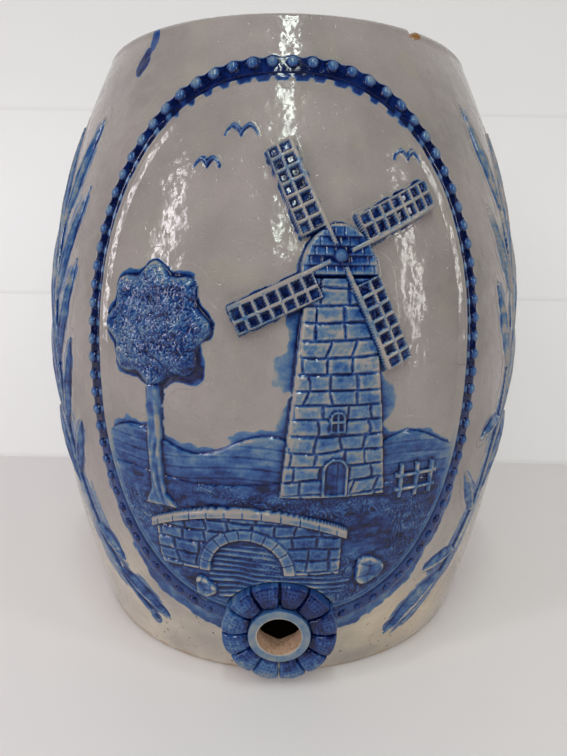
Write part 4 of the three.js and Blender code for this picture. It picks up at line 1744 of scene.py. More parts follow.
@dataclass
class Border:
    """The row of beads round the medallion and the thin fillet inside it."""

    front: Front
    bead_radius: float = 3.2
    bead_rise: float = 2.9
    bead_pitch: float = 9.4
    bead_stray: float = 0.04
    sunk_width: float = 0.12
    sunk_rise: float = 0.3
    band_film: float = 0.06
    band_rise: float = 0.5
    fillet_film: float = 0.055
    fillet_inset: float = 7.6
    fillet_width: float = 2.4
    fillet_rise: float = 1.7
    slope_width: float = 4.5
    slope_rise: Triple = (0.74, 0.46, 0.4)
    outer_edge: float = -13.0
    join: float = 4.6
    inner_edge: float = 12.4
    along_step: float = 0.85
    across_step: float = 0.55
    paint: BorderPaint = BorderPaint()

    def __post_init__(self) -> None:
        """Measures the way round the bead line."""
        turns = np.linspace(0, 2 * np.pi, 4001)
        arcs, heights = self.front.oval.at(turns, 0.0)
        points = self.front.barrel.place(arcs, heights, np.zeros(len(turns))) / MM
        steps = np.linalg.norm(np.diff(points, axis=0), axis=1)
        self.turns, self.way = turns, np.concatenate([[0], np.cumsum(steps)])
        self.count = round(self.way[-1] / self.bead_pitch)

    def lower(self, heights: Array) -> Array:
        """Returns 1 where the beads sink in thick blue low down, and 0 at the top."""
        return smooth_step(170.0, 90.0, heights)

    def strip(self, name: str, start: float, end: float, lift: Relief, tone: Relief) -> bmesh.types.BMesh:
        """Makes a closed band along the bead line, still in steps, insets and a front and back side.

        Args:
            name: What the log calls the band.
            start: Its outer inset.
            end: Its inner inset.
            lift: Gives the lift from the way round, the inset and the height.
            tone: Gives the cobalt from the same.

        Returns:
            The mesh of the band.
        """
        around = int(self.way[-1] / self.along_step)
        across = int(round((end - start) / self.across_step))
        bm = bmesh.new()
        bmesh.ops.create_grid(bm, x_segments=around, y_segments=across, size=0.5)
        flat = np.array([vertex.co[:2] for vertex in bm.verts])
        low, span = flat.min(0), np.ptp(flat, axis=0)
        for vertex, (x, y) in zip(bm.verts, (flat - low) / span):
            vertex.co = (x, y, 0.0)
        thicken(bm)
        ends = [
            face for face in bm.faces
            if all(v.co.x < 1e-6 for v in face.verts) or all(v.co.x > 1 - 1e-6 for v in face.verts)
        ]
        bmesh.ops.delete(bm, geom=ends, context="FACES")
        bmesh.ops.recalc_face_normals(bm, faces=bm.faces[:])
        LOG.info("%s: %d steps round", name, around)
        return self._wrapped(bm, start, end, lift, tone)

    def _wrapped(
        self, bm: bmesh.types.BMesh, start: float, end: float, lift: Relief, tone: Relief
    ) -> bmesh.types.BMesh:
        """Carries a flat band onto the barrel, joins its ends and cuts it at the rosette.

        Args:
            bm: The flat band.
            start: The outer inset.
            end: The inner inset.
            lift: Gives the lift.
            tone: Gives the cobalt.

        Returns:
            The band, closed.
        """
        flat = np.array([vertex.co for vertex in bm.verts])
        way = flat[:, 0] * self.way[-1]
        inset = start + flat[:, 1] * (end - start)
        arcs, heights = self.front.oval.at(np.interp(way, self.way, self.turns), inset)
        lifts = np.where(flat[:, 2] > 0.5, lift(way, inset, heights), -self.front.back)
        points = self.front.barrel.place(arcs, heights, lifts)
        layer = bm.verts.layers.float.new("cobalt")
        for vertex, point, value in zip(bm.verts, points, tone(way, inset, heights)):
            vertex.co = point
            vertex[layer] = value
        bmesh.ops.remove_doubles(bm, verts=bm.verts[:], dist=2e-5)
        low = self._cut_at_rosette(bm)
        bmesh.ops.holes_fill(bm, edges=low, sides=0)
        bmesh.ops.recalc_face_normals(bm, faces=bm.faces[:])
        return bm

    def _cut_at_rosette(self, bm: bmesh.types.BMesh) -> list[bmesh.types.BMEdge]:
        """Takes away what lies in the rosette and returns the open edges.

        Args:
            bm: The band on the barrel.

        Returns:
            The edges of the cut.
        """
        tap = self.front.tap
        points = np.array([vertex.co for vertex in bm.verts])
        away, _ = tap.away(self.front.barrel, points)
        doomed = [v for v, gone in zip(bm.verts, away < tap.rosette_radius - 1.2) if gone]
        bmesh.ops.delete(bm, geom=doomed, context="VERTS")
        return [edge for edge in bm.edges if edge.is_boundary]

    def build_beads(self) -> bpy.types.Object:
        """Builds the beads as domes on a low band.

        Returns:
            The new object.
        """
        domes = self._domes()
        bm = self.strip("bead band", self.outer_edge, self.join, self._band_lift, self._band_tone)
        bm.from_mesh(domes)
        bpy.data.meshes.remove(domes)
        return self._painted(finished_mesh(bm, "glazed_bead_border"))

    def _domes(self) -> bpy.types.Mesh:
        """Builds every bead as a flattened ball half sunk in the wall, with its cobalt.

        Returns:
            The mesh of all beads.
        """
        grain = self.front.grain
        middles = (np.arange(self.count) + 0.5) / self.count * self.way[-1]
        arcs, heights = self.front.oval.at(np.interp(middles, self.way, self.turns), 0.0)
        places = self.front.barrel.place(arcs, heights, np.zeros(self.count))
        away, _ = self.front.tap.away(self.front.barrel, places)
        sunk = self.lower(heights)
        unit = bmesh.new()
        bmesh.ops.create_uvsphere(unit, u_segments=18, v_segments=12, radius=1.0)
        ball = finished_mesh(unit, "bead")
        bm = bmesh.new()
        shown = np.flatnonzero(away > self.front.tap.rosette_radius + 1.0)
        for index in shown:
            out = self.front.barrel.normal(arcs[index], heights[index])
            turn = Vector((0, 0, 1)).rotation_difference(out).to_matrix().to_4x4()
            stray = self.bead_stray * grain.table[index]
            wide = self.bead_radius * (1 - self.sunk_width * sunk[index] + stray[0])
            tall = self.bead_rise * (1 - self.sunk_rise * sunk[index] + stray[1])
            bead = ball.copy()
            size = Matrix.Diagonal((wide * MM, wide * MM, tall * MM, 1))
            bead.transform(Matrix.Translation(places[index]) @ turn @ size)
            bm.from_mesh(bead)
            bpy.data.meshes.remove(bead)
        level = np.tile(mesh_points(ball)[:, 2], len(shown))
        bpy.data.meshes.remove(ball)
        owner = np.repeat(shown, len(level) // len(shown))
        paint, low = self.paint, sunk[owner]
        top = paint.bead + paint.bead_low * low + paint.bead_stray * grain.table[owner % grain.size, 5]
        ring = -paint.ring_wear * smooth_step(0.88, 0.97, level) * (1 - 0.7 * low)
        mesh = finished_mesh(bm, "bead_domes")
        side = (paint.bead_foot - top) * smooth_step(0.82, 0.35, level)
        write_attribute(mesh, "cobalt", top + ring + side)
        return mesh

    def build_fillet(self) -> bpy.types.Object:
        """Builds the raised line inside the beads with its glaze on both sides."""
        bm = self.strip("fillet", self.join, self.inner_edge, self._fillet_lift, self._fillet_tone)
        return self._painted(finished_mesh(bm, "glazed_inner_fillet"))

    def _painted(self, mesh: bpy.types.Mesh) -> bpy.types.Object:
        """Adds the bare clay attribute, which is nought on the border."""
        write_attribute(mesh, "bare", np.zeros(len(mesh.vertices)))
        return placed(mesh)

    def _phase(self, way: Array) -> Array:
        """Returns 1 beside each bead's middle and -1 halfway between two beads."""
        return -np.cos(2 * np.pi * way / (self.way[-1] / self.count))

    def _spoke_wear_and_glint(self, way: Array, inset: Array, heights: Array) -> Array:
        """Returns 1 where pale clay shows through between a bead and the fillet, on the upper sides; this
        paleness is partly thin cobalt and partly a painted highlight for the glints there.
        """
        sides = (1 - self.lower(heights)) * smooth_step(312.0, 296.0, heights)
        return smooth_step(0.25, 0.75, self._phase(way)) * smooth_step(2.2, 3.2, inset) * sides

    def _band_lift(self, way: Array, inset: Array, heights: Array) -> Array:
        """Returns the lift of the low band under the beads, which feathers out at its outer edge.

        Args:
            way: Ways round the bead line.
            inset: How far inside the bead line each place is.
            heights: Heights of the points.

        Returns:
            The lifts.
        """
        side = smooth_step(-3.9, -2.5, inset + 0.5 * self._phase(way)) * smooth_step(5.0, 3.2, inset)
        lump = 0.1 * self.front.grain.at(way, inset, 3.0)
        lift = self.band_film + side * (self.band_rise + lump)
        return np.where(inset <= self.outer_edge + 1e-6, -self.front.sunk, lift)

    def _band_tone(self, way: Array, inset: Array, heights: Array) -> Array:
        """Returns the cobalt of the band: navy between the beads, with strokes past them low down.

        Args:
            way: Ways round the bead line.
            inset: How far inside the bead line each place is.
            heights: Heights of the points.

        Returns:
            The cobalt.
        """
        grain, low, paint = self.front.grain, self.lower(heights), self.paint
        ragged = 0.6 * grain.layered(way, inset + 60, 5.0)
        covered = smooth_step(-3.6, -2.8, inset + 0.75 * self._phase(way) + 0.6 * ragged)
        # pale spokes: partly thin cobalt, partly painted highlight
        covered = covered * (1 - paint.spoke_wear_and_glint_share * self._spoke_wear_and_glint(way, inset, heights))
        tone = paint.band - paint.band_low * low + paint.band_clouds * grain.layered(way, inset, 7.0)
        nearer = smooth_step(85.0, 45.0, heights)
        patches = grain.layered(way + 70, inset, 13.0)
        streaks = grain.layered(way + 15, inset * 1.4, 7.0)
        reach = low * np.clip(0.5 + 5.0 * nearer + 2.6 * patches + 2.6 * streaks, 0, paint.stroke_reach)
        strokes = smooth_step(-4.9 - reach, -3.3 - reach, inset)
        brushed = (paint.stroke + 0.22 * patches + 0.3 * streaks) * strokes * low
        return np.clip(np.maximum(covered * tone, brushed), 0, 1)

    def _fillet_lift(self, way: Array, inset: Array, heights: Array) -> Array:
        """Returns the lift of the fillet, whose inner side runs out in a long slope of pooled glaze.

        Args:
            way: Ways round the bead line.
            inset: How far inside the bead line each place is.
            heights: Heights of the points.

        Returns:
            The lifts.
        """
        grain = self.front.grain
        waver = 0.22 * grain.at(way, heights, 9.0)
        past = inset - self.fillet_inset - waver
        outer_side = np.sqrt(np.clip(1 - (np.minimum(past, 0) / (self.fillet_width / 2)) ** 2, 0, 1))
        least, middle, low = self.slope_rise
        start = least + middle * smooth_step(290.0, 235.0, heights) + low * smooth_step(225.0, 190.0, heights)
        slope = start * np.clip(1 - past / (self.slope_width + 0.6 * waver), 0, 1)
        bead = (self.fillet_rise - start) * smooth_step(0.9, 0.0, past)
        rise = self.fillet_rise * outer_side
        fade = (1 - 0.3 * self.lower(heights)) * (1 + 0.2 * waver)
        lift = np.maximum(fade * np.where(past < 0, rise, slope + bead), self.fillet_film)
        pooled = 0.25 * np.exp(-((inset - 5.2) ** 2) / 0.6)
        return np.where(inset >= self.inner_edge - 1e-6, -self.front.sunk, np.maximum(lift, pooled))

    def _fillet_tone(self, way: Array, inset: Array, heights: Array) -> Array:
        """Returns the cobalt beside and on the fillet: a navy channel with a broken edge along the top.

        Args:
            way: Ways round the bead line.
            inset: How far inside the bead line each place is.
            heights: Heights of the points.

        Returns:
            The cobalt.
        """
        grain, low, paint = self.front.grain, self.lower(heights), self.paint
        top = smooth_step(268.0, 308.0, heights)
        ragged = grain.layered(way, inset + 20, 5.0)
        blocks = np.clip(1.6 * (0.5 - 0.5 * self._phase(way) + 0.5 * grain.at(way, 7.0, 8.0)), 0, 1)
        edge = paint.channel_edge + top * (1.6 + 2.1 * blocks) + 0.5 * ragged + 0.9 * low
        thick = paint.channel - 0.14 * smooth_step(5.0, 7.0, inset)
        channel = smooth_step(edge + 0.6, edge - 0.4, inset) * thick
        beside = paint.beside * np.exp(-(((inset - 5.9) / 0.55) ** 2)) * smooth_step(-0.5, 0.2, ragged)
        inward = smooth_step(12.2, 9.6, inset + 0.9 * ragged) * low * (paint.inward + 0.12 * ragged)
        crest = np.exp(-(((inset - self.fillet_inset) / 1.0) ** 2))
        # pale spokes: partly thin cobalt, partly painted highlight
        channel = channel * (1 - paint.spoke_wear_and_glint_share * self._spoke_wear_and_glint(way, inset, heights))
        tone = np.maximum(np.maximum(channel, beside), inward)
        return np.clip(tone * (1 - paint.crest_wear * crest * (1 - top)), 0, 1)


@dataclass
class Masonry:
    """Rough courses of stone with sunk joints."""

    grain: Grain
    course: float = 8.0
    stone: float = 13.0
    joint: float = 0.75
    depth: float = 0.75
    bend: float = 1.3
    stray: float = 2.2
    rough: float = 0.3
    step: float = 0.22

    def carve(self, arcs: Array, heights: Array, inside: Array) -> Array:
        """Returns the change of height from the joints and the faces of the stones.

        Args:
            arcs: Arcs of the points.
            heights: Heights of the points.
            inside: How far inside the outline they are.

        Returns:
            The change of height.
        """
        bent = heights + self.bend * self.grain.at(arcs, heights, 16.0)
        row = np.floor(bent / self.course)
        shift = self.stone * (0.5 * (row % 2) + 0.35 * np.sin(row * 2.4))
        along = arcs + shift + self.stray * self.grain.at(arcs, heights, 11.0)
        column = np.floor(along / self.stone)
        beside = np.minimum(along - column * self.stone, (column + 1) * self.stone - along)
        above = np.minimum(bent - row * self.course, (row + 1) * self.course - bent)
        joint = 1 - smooth_step(0.2, self.joint + 0.5, np.minimum(beside, above))
        own = self.step * np.sin(row * 12.9 + column * 7.7)
        rough = self.rough * self.grain.layered(arcs, heights, 2.4)
        return own + rough - self.depth * joint


@dataclass
class Landscape:
    """The ground, hills, stream, rocks, bridge and fence of the medallion, in percent of its halves."""

    front: Front
    stream: tuple[Pair, ...] = (
        (-33, -64), (0, -64), (5, -71), (20, -75), (37, -79), (35, -86), (-32, -89), (-39, -82), (-36, -73),
    )
    bridge_middle: float = -17.0
    bridge_half: float = 47.0
    deck_top: float = -51.0
    deck_fall: float = 8.5
    spring: float = -76.0
    arch_half: float = 18.5
    arch_rise: float = 14.5
    arch_ring: float = 1.34
    coping: float = 3.6
    coping_stone: float = 9.5
    posts: tuple[float, ...] = (58, 67, 76)
    rails: tuple[float, ...] = (-43.6, -38.2)

    def lay(self) -> None:
        """Lays every piece of the landscape, lowest first."""
        front = self.front
        hills = self._land(bottom=-46, top=-26, swell=4, waves=3, phase=2.2)
        meadow = self._land(bottom=-98, top=-39, swell=1.6, waves=2, phase=0.6)
        front.lay("far_hills", Slot.PALE, hills, rise=1.2, paint=Paint.MID,
                  edge=1.6, spread=6.0, carve=self._slopes, in_picture=True)
        front.lay("ground", Slot.MID, meadow, rise=1.5, paint=Paint.DEEP,
                  edge=1.2, spread=1.6, carve=self._grass, in_picture=True, shade=self._meadow)
        front.lay("stream", Slot.PALE, front.oval.pictured(self.stream), rise=2.3, paint=Paint.MID,
                  carve=self._ripples, in_picture=True)
        self._lay_bridge()
        for node, (across, up), radius in (("left_rock", (-40, -84.5), 7.0), ("right_rock", (46, -76), 9.0)):
            middle = front.oval.pictured([(across, up)])[0]
            front.lay(node, Slot.MID, lobed(middle, radius, 60, 3, radius / 9), rise=3.4, paint=Paint.MID,
                      edge=2.6, carve=self._lumps, in_picture=True)
        self._lay_fence()

    def _land(self, bottom: float, top: float, swell: float, waves: int, phase: float) -> Array:
        """Returns a band of land across the picture with a rolling top, given in percent.

        Args:
            bottom: Its lower edge.
            top: The middle height of its top.
            swell: How far its top rolls.
            waves: How many waves the top has.
            phase: Where the first wave starts.

        Returns:
            The outline.
        """
        across = np.linspace(100, -100, 60)
        skyline = top + swell * np.sin(waves * np.pi * across / 100 + phase)
        return self.front.oval.pictured([(-100, bottom), (100, bottom), *zip(across, skyline)])

    def _slopes(self, arcs: Array, heights: Array, inside: Array) -> Array:
        """Carves soft shoulders and a few field lines.

        Args:
            arcs: Arcs of the points.
            heights: Heights of the points.
            inside: How far inside the outline they are.

        Returns:
            The change of height.
        """
        grain = self.front.grain
        lines = np.sin(heights * 1.1 + 1.6 * np.sin(arcs / 13))
        return 0.35 * grain.layered(arcs, heights, 14.0, 0.4) - 0.22 * smooth_step(0.7, 1.0, lines)

    def _grass(self, arcs: Array, heights: Array, inside: Array) -> Array:
        """Carves tufts of upright blades that lean to and fro, with worn paths between them.

        Args:
            arcs: Arcs of the points.
            heights: Heights of the points.
            inside: How far inside the outline they are.

        Returns:
            The change of height.
        """
        grain = self.front.grain
        tuft = smooth_step(-0.3, 0.4, grain.at(arcs, heights, 17.0, 0.6))
        sway = 0.45 * np.sin(arcs / 9 + heights / 21) + 0.25 * grain.at(arcs, heights, 9.0)
        lean = arcs + sway * heights
        near, own = grain.cells(lean, heights * 0.3, 2.0)
        far, _ = grain.cells(lean * 0.9 + 31, heights * 0.34, 1.5)
        blades = np.maximum(1.1 * (0.62 - near) + 0.25 * own, 0.7 * (0.55 - far))
        clods = grain.layered(arcs, heights, 6.0, 0.55)
        return tuft * (0.95 * blades) + 0.4 * clods

    def _meadow(self, arcs: Array, heights: Array) -> Array:
        """Varies the paint of the ground, palest on the worn paths."""
        return 0.16 * self.front.grain.layered(arcs + 33, heights, 24.0, 0.45)

    def _ripples(self, arcs: Array, heights: Array, inside: Array) -> Array:
        """Carves long ripples that bend with the stream.

        Args:
            arcs: Arcs of the points.
            heights: Heights of the points.
            inside: How far inside the outline they are.

        Returns:
            The change of height.
        """
        grain = self.front.grain
        wave = np.sin(heights * 1.9 + 2.4 * np.sin(arcs / 17) + 2.0 * grain.at(arcs, heights, 12.0))
        return -0.55 + 0.38 * wave

    def _lumps(self, arcs: Array, heights: Array, inside: Array) -> Array:
        """Carves broken facets on a rock."""
        away, own = self.front.grain.cells(arcs, heights, 5.5)
        return 0.8 - 0.9 * away + 0.35 * own

    def _lay_bridge(self) -> None:
        """Lays the bridge with its arch stones, and the coping along its top."""
        front, oval = self.front, self.front.oval
        middle, span, spring = self.bridge_middle, self.bridge_half, self.spring
        turns = np.linspace(0, math.pi, 24)
        arch = [(middle - self.arch_half * math.cos(t), spring + self.arch_rise * math.sin(t)) for t in turns]
        line = [(middle + span * share, self._deck(share)) for share in np.linspace(1, -1, 24)]
        stones = Masonry(front.grain, course=7.0, stone=12.0)
        crown = oval.pictured([(middle, spring)])[0]
        half = np.array([oval.half_width * self.arch_half, oval.half_height * self.arch_rise]) / 100

        def carve(arcs: Array, heights: Array, inside: Array) -> Array:
            """Carves courses, and wedge-shaped stones round the arch.

            Args:
                arcs: Arcs of the points.
                heights: Heights of the points.
                inside: How far inside the outline they are.

            Returns:
                The change of height.
            """
            out = np.hypot((arcs - crown[0]) / half[0], (heights - crown[1]) / half[1])
            turn = np.arctan2((heights - crown[1]) / half[1], (arcs - crown[0]) / half[0])
            ring = (out < self.arch_ring + 0.02) & (heights > crown[1] - 0.5)
            wedge = np.abs(((turn * 11 / np.pi) % 1) - 0.5)
            edge = smooth_step(0.06, 0.0, np.abs(out - self.arch_ring))
            joint = np.maximum(smooth_step(0.42, 0.5, wedge), edge)
            return np.where(ring, 0.5 - 0.9 * joint, stones.carve(arcs, heights, inside))

        side = oval.pictured([*line, (middle - span, spring), *arch, (middle + span, spring)])
        front.lay("bridge", Slot.MID, side, rise=3.4, paint=Paint.MID, carve=carve)
        low = [(middle + (span + 2) * share, self._deck(share) - 1.2) for share in np.linspace(-1, 1, 24)]
        high = [(across, up + self.coping) for across, up in reversed(low)]
        front.lay("bridge_parapet", Slot.PALE, oval.pictured([*low, *high]), rise=4.7, paint=Paint.PALE,
                  edge=1.1, carve=self._coping_joints)

    def _deck(self, share: float) -> float:
        """Returns the height of the bridge's deck at a share of its half length."""
        return self.deck_top - self.deck_fall * share**2

    def _coping_joints(self, arcs: Array, heights: Array, inside: Array) -> Array:
        """Carves the joints between the coping stones."""
        return -0.7 * smooth_step(0.44, 0.5, np.abs((arcs / self.coping_stone) % 1 - 0.5))

    def _lay_fence(self) -> None:
        """Lays the posts and rails as one sprig."""
        front, oval = self.front, self.front.oval
        bars = [[(a - 1.1, -47), (a + 1.1, -47), (a + 1.1, -34), (a - 1.1, -34)] for a in self.posts]
        bars += [[(55, up - 0.8), (79, up - 0.8), (79, up + 0.8), (55, up + 0.8)] for up in self.rails]
        corners = [oval.pictured(bar) for bar in bars]
        rows, columns = front.window(np.vstack(corners), 5.0)
        arcs, heights = front.grid(rows, columns)
        inside = np.max([outline_distance(arcs, heights, bar) for bar in corners], axis=0)
        side = np.sqrt(1 - (1 - np.clip((inside + front.foot) / 1.1, 0, 1)) ** 2)
        streaks = 0.15 * front.grain.at(arcs, heights, 1.5, 3.0)
        paint = np.full(arcs.shape, Paint.DEEP.value)
        front.add(Sprig("rail_fence", Slot.DEEP, rows, columns, inside, (2.9 + streaks) * side, paint, 1.3))


@dataclass
class Tree:
    """The round tree and its trunk."""

    front: Front
    middle: Pair = (-60, 14)
    trunk: tuple[Pair, ...] = (
        (-70, -52), (-50, -52), (-56, -46), (-57.5, -30), (-56, -5), (-64, -5), (-65, -30), (-65, -45),
    )
    radius: float = 28.0
    lobes: int = 8
    lobe_depth: float = 2.6

    def lay(self) -> None:
        """Lays the trunk, then the crown over it."""
        oval = self.front.oval
        self.front.lay("tree_trunk", Slot.DEEP, oval.pictured(self.trunk), rise=3.3, paint=Paint.MID,
                       edge=2.6, carve=self._bark)
        middle = oval.pictured([self.middle])[0]
        crown = lobed(middle, self.radius, 120, self.lobes, self.lobe_depth)
        self.front.lay("tree_crown", Slot.DEEP, crown, rise=3.4, paint=Paint.DEEP, edge=5.0, spread=5.0,
                       carve=self._leaves, shade=self._shade)

    def _bark(self, arcs: Array, heights: Array, inside: Array) -> Array:
        """Carves long furrows up the trunk."""
        grain = self.front.grain
        return 0.55 * grain.at(arcs + 2 * np.sin(heights / 9), heights, 1.9, 5.0)

    def _leaves(self, arcs: Array, heights: Array, inside: Array) -> Array:
        """Carves overlapping clumps of leaves, each a small dome with a sunk edge.

        Args:
            arcs: Arcs of the points.
            heights: Heights of the points.
            inside: How far inside the outline they are.

        Returns:
            The change of height.
        """
        grain = self.front.grain
        sway = arcs + 0.6 * heights * np.sin(arcs / 6 + 1.3 * np.sin(heights / 5))
        away, own = grain.cells(sway, heights * 0.62, 2.9)
        clump, high = grain.cells(arcs + 40, heights, 12.0)
        small, large = 1.0 * (0.6 - away) + 0.3 * own, 1.3 * (0.5 - clump)
        return small + large + 0.3 * high + 0.2 * grain.at(arcs, heights, 1.6)

    def _shade(self, arcs: Array, heights: Array) -> Array:
        """Darkens the crown in patches, most on its lower right.

        Args:
            arcs: Arcs of the points.
            heights: Heights of the points.

        Returns:
            The change of paint.
        """
        middle = self.front.oval.pictured([self.middle])[0]
        side = ((arcs - middle[0]) - (heights - middle[1])) / self.radius
        return 0.1 * side + 0.16 * self.front.grain.layered(arcs, heights, 11.0)


@dataclass
class Windmill:
    """The mill with its cap, hub, four sails, door and window."""

    front: Front
    middle: float = 24.0
    foot: float = -44.0
    foot_half: float = 25.0
    tower_top: float = 31.0
    top_half: float = 14.5
    cap_half: float = 17.5
    cap_height: float = 17.0
    hub_radius: float = 4.6
    sails: int = 4
    sail_length: float = 57.0
    sail_width: float = 13.0
    blade_start: float = 15.0
    spar: float = 2.4
    panes_along: int = 7
    turn: float = math.radians(25)
    hub_above: float = 6.5
    shingle: Pair = (4.6, 4.2)
    board: float = 2.7
    window_sill: float = -20.0
    window_bar: float = -16.0

    def lay(self) -> None:
        """Lays the mill from the tower outwards."""
        front, oval, mid = self.front, self.front.oval, self.middle
        stones = Masonry(front.grain, course=7.6, stone=12.5, depth=0.8)
        tower = [(mid - self.foot_half, self.foot), (mid + self.foot_half, self.foot),
                 (mid + self.top_half, self.tower_top), (mid - self.top_half, self.tower_top)]
        # the tower's paint carries painted shade towards its right side
        front.lay("mill_tower", Slot.PALE, oval.pictured(tower), rise=3.5, paint=Paint.PALE, spread=11.0,
                  carve=stones.carve, shade=self._painted_side_shade)
        cap = self._arched(self.tower_top, self.cap_half, self.cap_height, 40)
        front.lay("mill_cap", Slot.DEEP, oval.pictured(cap), rise=4.4, paint=Paint.DEEP, edge=2.2,
                  carve=self._shingles)
        self._lay_opening("mill_door", sill=self.foot + 0.6, half=6.0, side=10.0, carve=self._boards)
        self._lay_opening("mill_window", sill=self.window_sill, half=3.6, side=5.0, carve=self._panes)
        hub = oval.pictured([(mid, self.tower_top + self.hub_above)])[0]
        for index in range(self.sails):
            self._lay_sail(hub, index)
        knob = lobed(hub, self.hub_radius, 30)
        front.lay("mill_hub", Slot.NAVY, knob, rise=6.3, paint=Paint.NAVY, edge=4.2, carve=self._boss)

    def _arched(self, spring: float, half: float, rise: float, steps: int) -> list[Pair]:
        """Returns half an ellipse over the mill's middle, in percent, from right to left."""
        turns = np.linspace(0, math.pi, steps)
        return [(self.middle + half * math.cos(turn), spring + rise * math.sin(turn)) for turn in turns]

    def _lay_opening(self, node: str, sill: float, half: float, side: float, carve: Relief) -> None:
        """Lays a door or a window with a round head, its sizes in percent.

        Args:
            node: The CAD node that it stands for.
            sill: Height of its sill.
            half: Half its width.
            side: Height of its straight sides.
            carve: Gives the change of height.
        """
        head = self._arched(sill + side, half, half * 0.76, 20)
        outline = [(self.middle - half, sill), (self.middle + half, sill), *head]
        corners = self.front.oval.pictured(outline)
        self.front.lay(node, Slot.NAVY, corners, rise=4.9, paint=Paint.DEEP, edge=0.9, carve=carve)

    def _lay_sail(self, hub: Array, index: int) -> None:
        """Lays one sail: a spar with a lattice blade along one side of it.

        Args:
            hub: Middle of the hub.
            index: Its number.
        """
        turn = self.turn + index * 2 * math.pi / self.sails
        start = self.hub_radius + 0.6
        half = self.spar / 2
        corners = np.array([(start, -half), (self.sail_length, -half), (self.sail_length, self.sail_width),
                            (self.blade_start, self.sail_width), (self.blade_start, half), (start, half)])
        ways = np.array([(math.cos(turn), math.sin(turn)), (-math.sin(turn), math.cos(turn))])

        def carve(arcs: Array, heights: Array, inside: Array) -> Array:
            """Sinks the cloth between the bars of the lattice.

            Args:
                arcs: Arcs of the points.
                heights: Heights of the points.
                inside: How far inside the outline they are.

            Returns:
                The change of height.
            """
            along = (arcs - hub[0]) * ways[0, 0] + (heights - hub[1]) * ways[0, 1]
            across = (arcs - hub[0]) * ways[1, 0] + (heights - hub[1]) * ways[1, 1]
            pitch = (self.sail_length - self.blade_start) / self.panes_along
            place = (along - self.blade_start) / pitch
            bar = np.abs(place - np.round(place)) * pitch
            rail = np.abs(across - (self.sail_width + half) / 2)
            frame_bar = np.minimum(np.minimum(bar, rail), inside)
            cloth = smooth_step(0.55, 1.15, frame_bar) * smooth_step(half - 0.3, half + 0.4, across)
            return -2.1 * cloth * (along > self.blade_start)

        self.front.lay(f"mill_sail_{index + 1}", Slot.MID, hub + corners @ ways, rise=5.3, paint=Paint.MID,
                       edge=0.8, carve=carve)

    def _boss(self, arcs: Array, heights: Array, inside: Array) -> Array:
        """Raises a small boss in the middle of the hub."""
        return 0.3 * smooth_step(3.0, 3.8, inside)

    def _painted_side_shade(self, arcs: Array, heights: Array) -> Array:
        """Paints shade on the tower, darker towards its right side."""
        middle = self.front.oval.half_width * self.middle / 100
        return 0.1 * smooth_step(4.0, 22.0, arcs - middle) - 0.05

    def _shingles(self, arcs: Array, heights: Array, inside: Array) -> Array:
        """Carves rows of shingles on the cap, each row over the one below.

        Args:
            arcs: Arcs of the points.
            heights: Heights of the points.
            inside: How far inside the outline they are.

        Returns:
            The change of height.
        """
        row = heights / self.shingle[1]
        step = row - np.floor(row)
        split = np.abs(((arcs / self.shingle[0] + 0.5 * (np.floor(row) % 2)) % 1) - 0.5)
        return 0.5 - 0.75 * step - 0.4 * smooth_step(0.4, 0.5, split)

    def _boards(self, arcs: Array, heights: Array, inside: Array) -> Array:
        """Sinks the door inside its stone frame and carves upright boards.

        Args:
            arcs: Arcs of the points.
            heights: Heights of the points.
            inside: How far inside the outline they are.

        Returns:
            The change of height.
        """
        panel = smooth_step(1.0, 1.6, inside)
        board = smooth_step(0.36, 0.5, np.abs((arcs / self.board) % 1 - 0.5))
        return -panel * (1.0 + 0.5 * board)

    def _panes(self, arcs: Array, heights: Array, inside: Array) -> Array:
        """Sinks the window inside its frame, with a cross of bars.

        Args:
            arcs: Arcs of the points.
            heights: Heights of the points.
            inside: How far inside the outline they are.

        Returns:
            The change of height.
        """
        middle = self.front.oval.half_width * self.middle / 100
        across = self.front.oval.pictured([(0, self.window_bar)])[0][1]
        bars = np.minimum(np.abs(arcs - middle), np.abs(heights - across))
        return -1.2 * smooth_step(0.9, 1.4, inside) * smooth_step(0.3, 0.8, bars)


@dataclass
class Birds:
    """Three birds in the sky, each two arched wings."""

    front: Front
    reaches: tuple[float, ...] = (9.0, 7.0, 8.0)
    places: tuple[Pair, ...] = ((-22, 76), (-38, 66), (62, 70))

    def lay(self) -> None:
        """Lays the birds."""
        for index, (place, reach) in enumerate(zip(self.places, self.reaches), start=1):
            middle = self.front.oval.pictured([place])[0]
            share = np.linspace(-1, 1, 33)
            arch = reach * 0.42 * np.sin(np.pi * np.abs(share)) ** 0.8
            low = np.stack([reach * share, arch], -1)
            high = np.stack([reach * share, arch + 1.9 * (1 - share**2)], -1)[1:-1][::-1]
            self.front.lay(f"bird_{index}", Slot.DEEP, middle + np.vstack([low, high]), rise=1.5,
                           paint=Paint.NAVY, edge=1.6, spread=0.9)


@dataclass(frozen=True)
class Leaf:
    """One leaf of a spray: where it leaves the stem, its tip in degrees and percent, its width and wash."""

    share: float
    tip: Pair
    width: float
    wash: float = 1.0


OUTER_LEAVES = (
    Leaf(0.8, (66, 88), 10), Leaf(0.65, (71, 72), 10), Leaf(0.5, (72, 56), 10), Leaf(0.34, (68, 40), 9),
)
LEFT_LEAVES = (
    Leaf(0.92, (47.2, 87.5), 10), Leaf(0.76, (46.2, 77), 10), Leaf(0.63, (47.6, 66.5), 10),
    Leaf(0.485, (49.5, 54), 9), Leaf(0.37, (47.2, 41), 8), Leaf(0.26, (38.8, 17), 9, 1.2),
    Leaf(0.145, (27.5, 8), 9, 1.2),
)
RIGHT_LEAVES = (
    Leaf(0.96, (45.4, 90), 10), Leaf(0.79, (48.2, 75.5), 10), Leaf(0.63, (50, 64), 10),
    Leaf(0.52, (47, 38.5), 8), Leaf(0.3, (42.2, 34), 8), Leaf(0.21, (34.5, 17), 8, 1.6),
    Leaf(0.15, (27, 5.2), 12, 2.4),
)


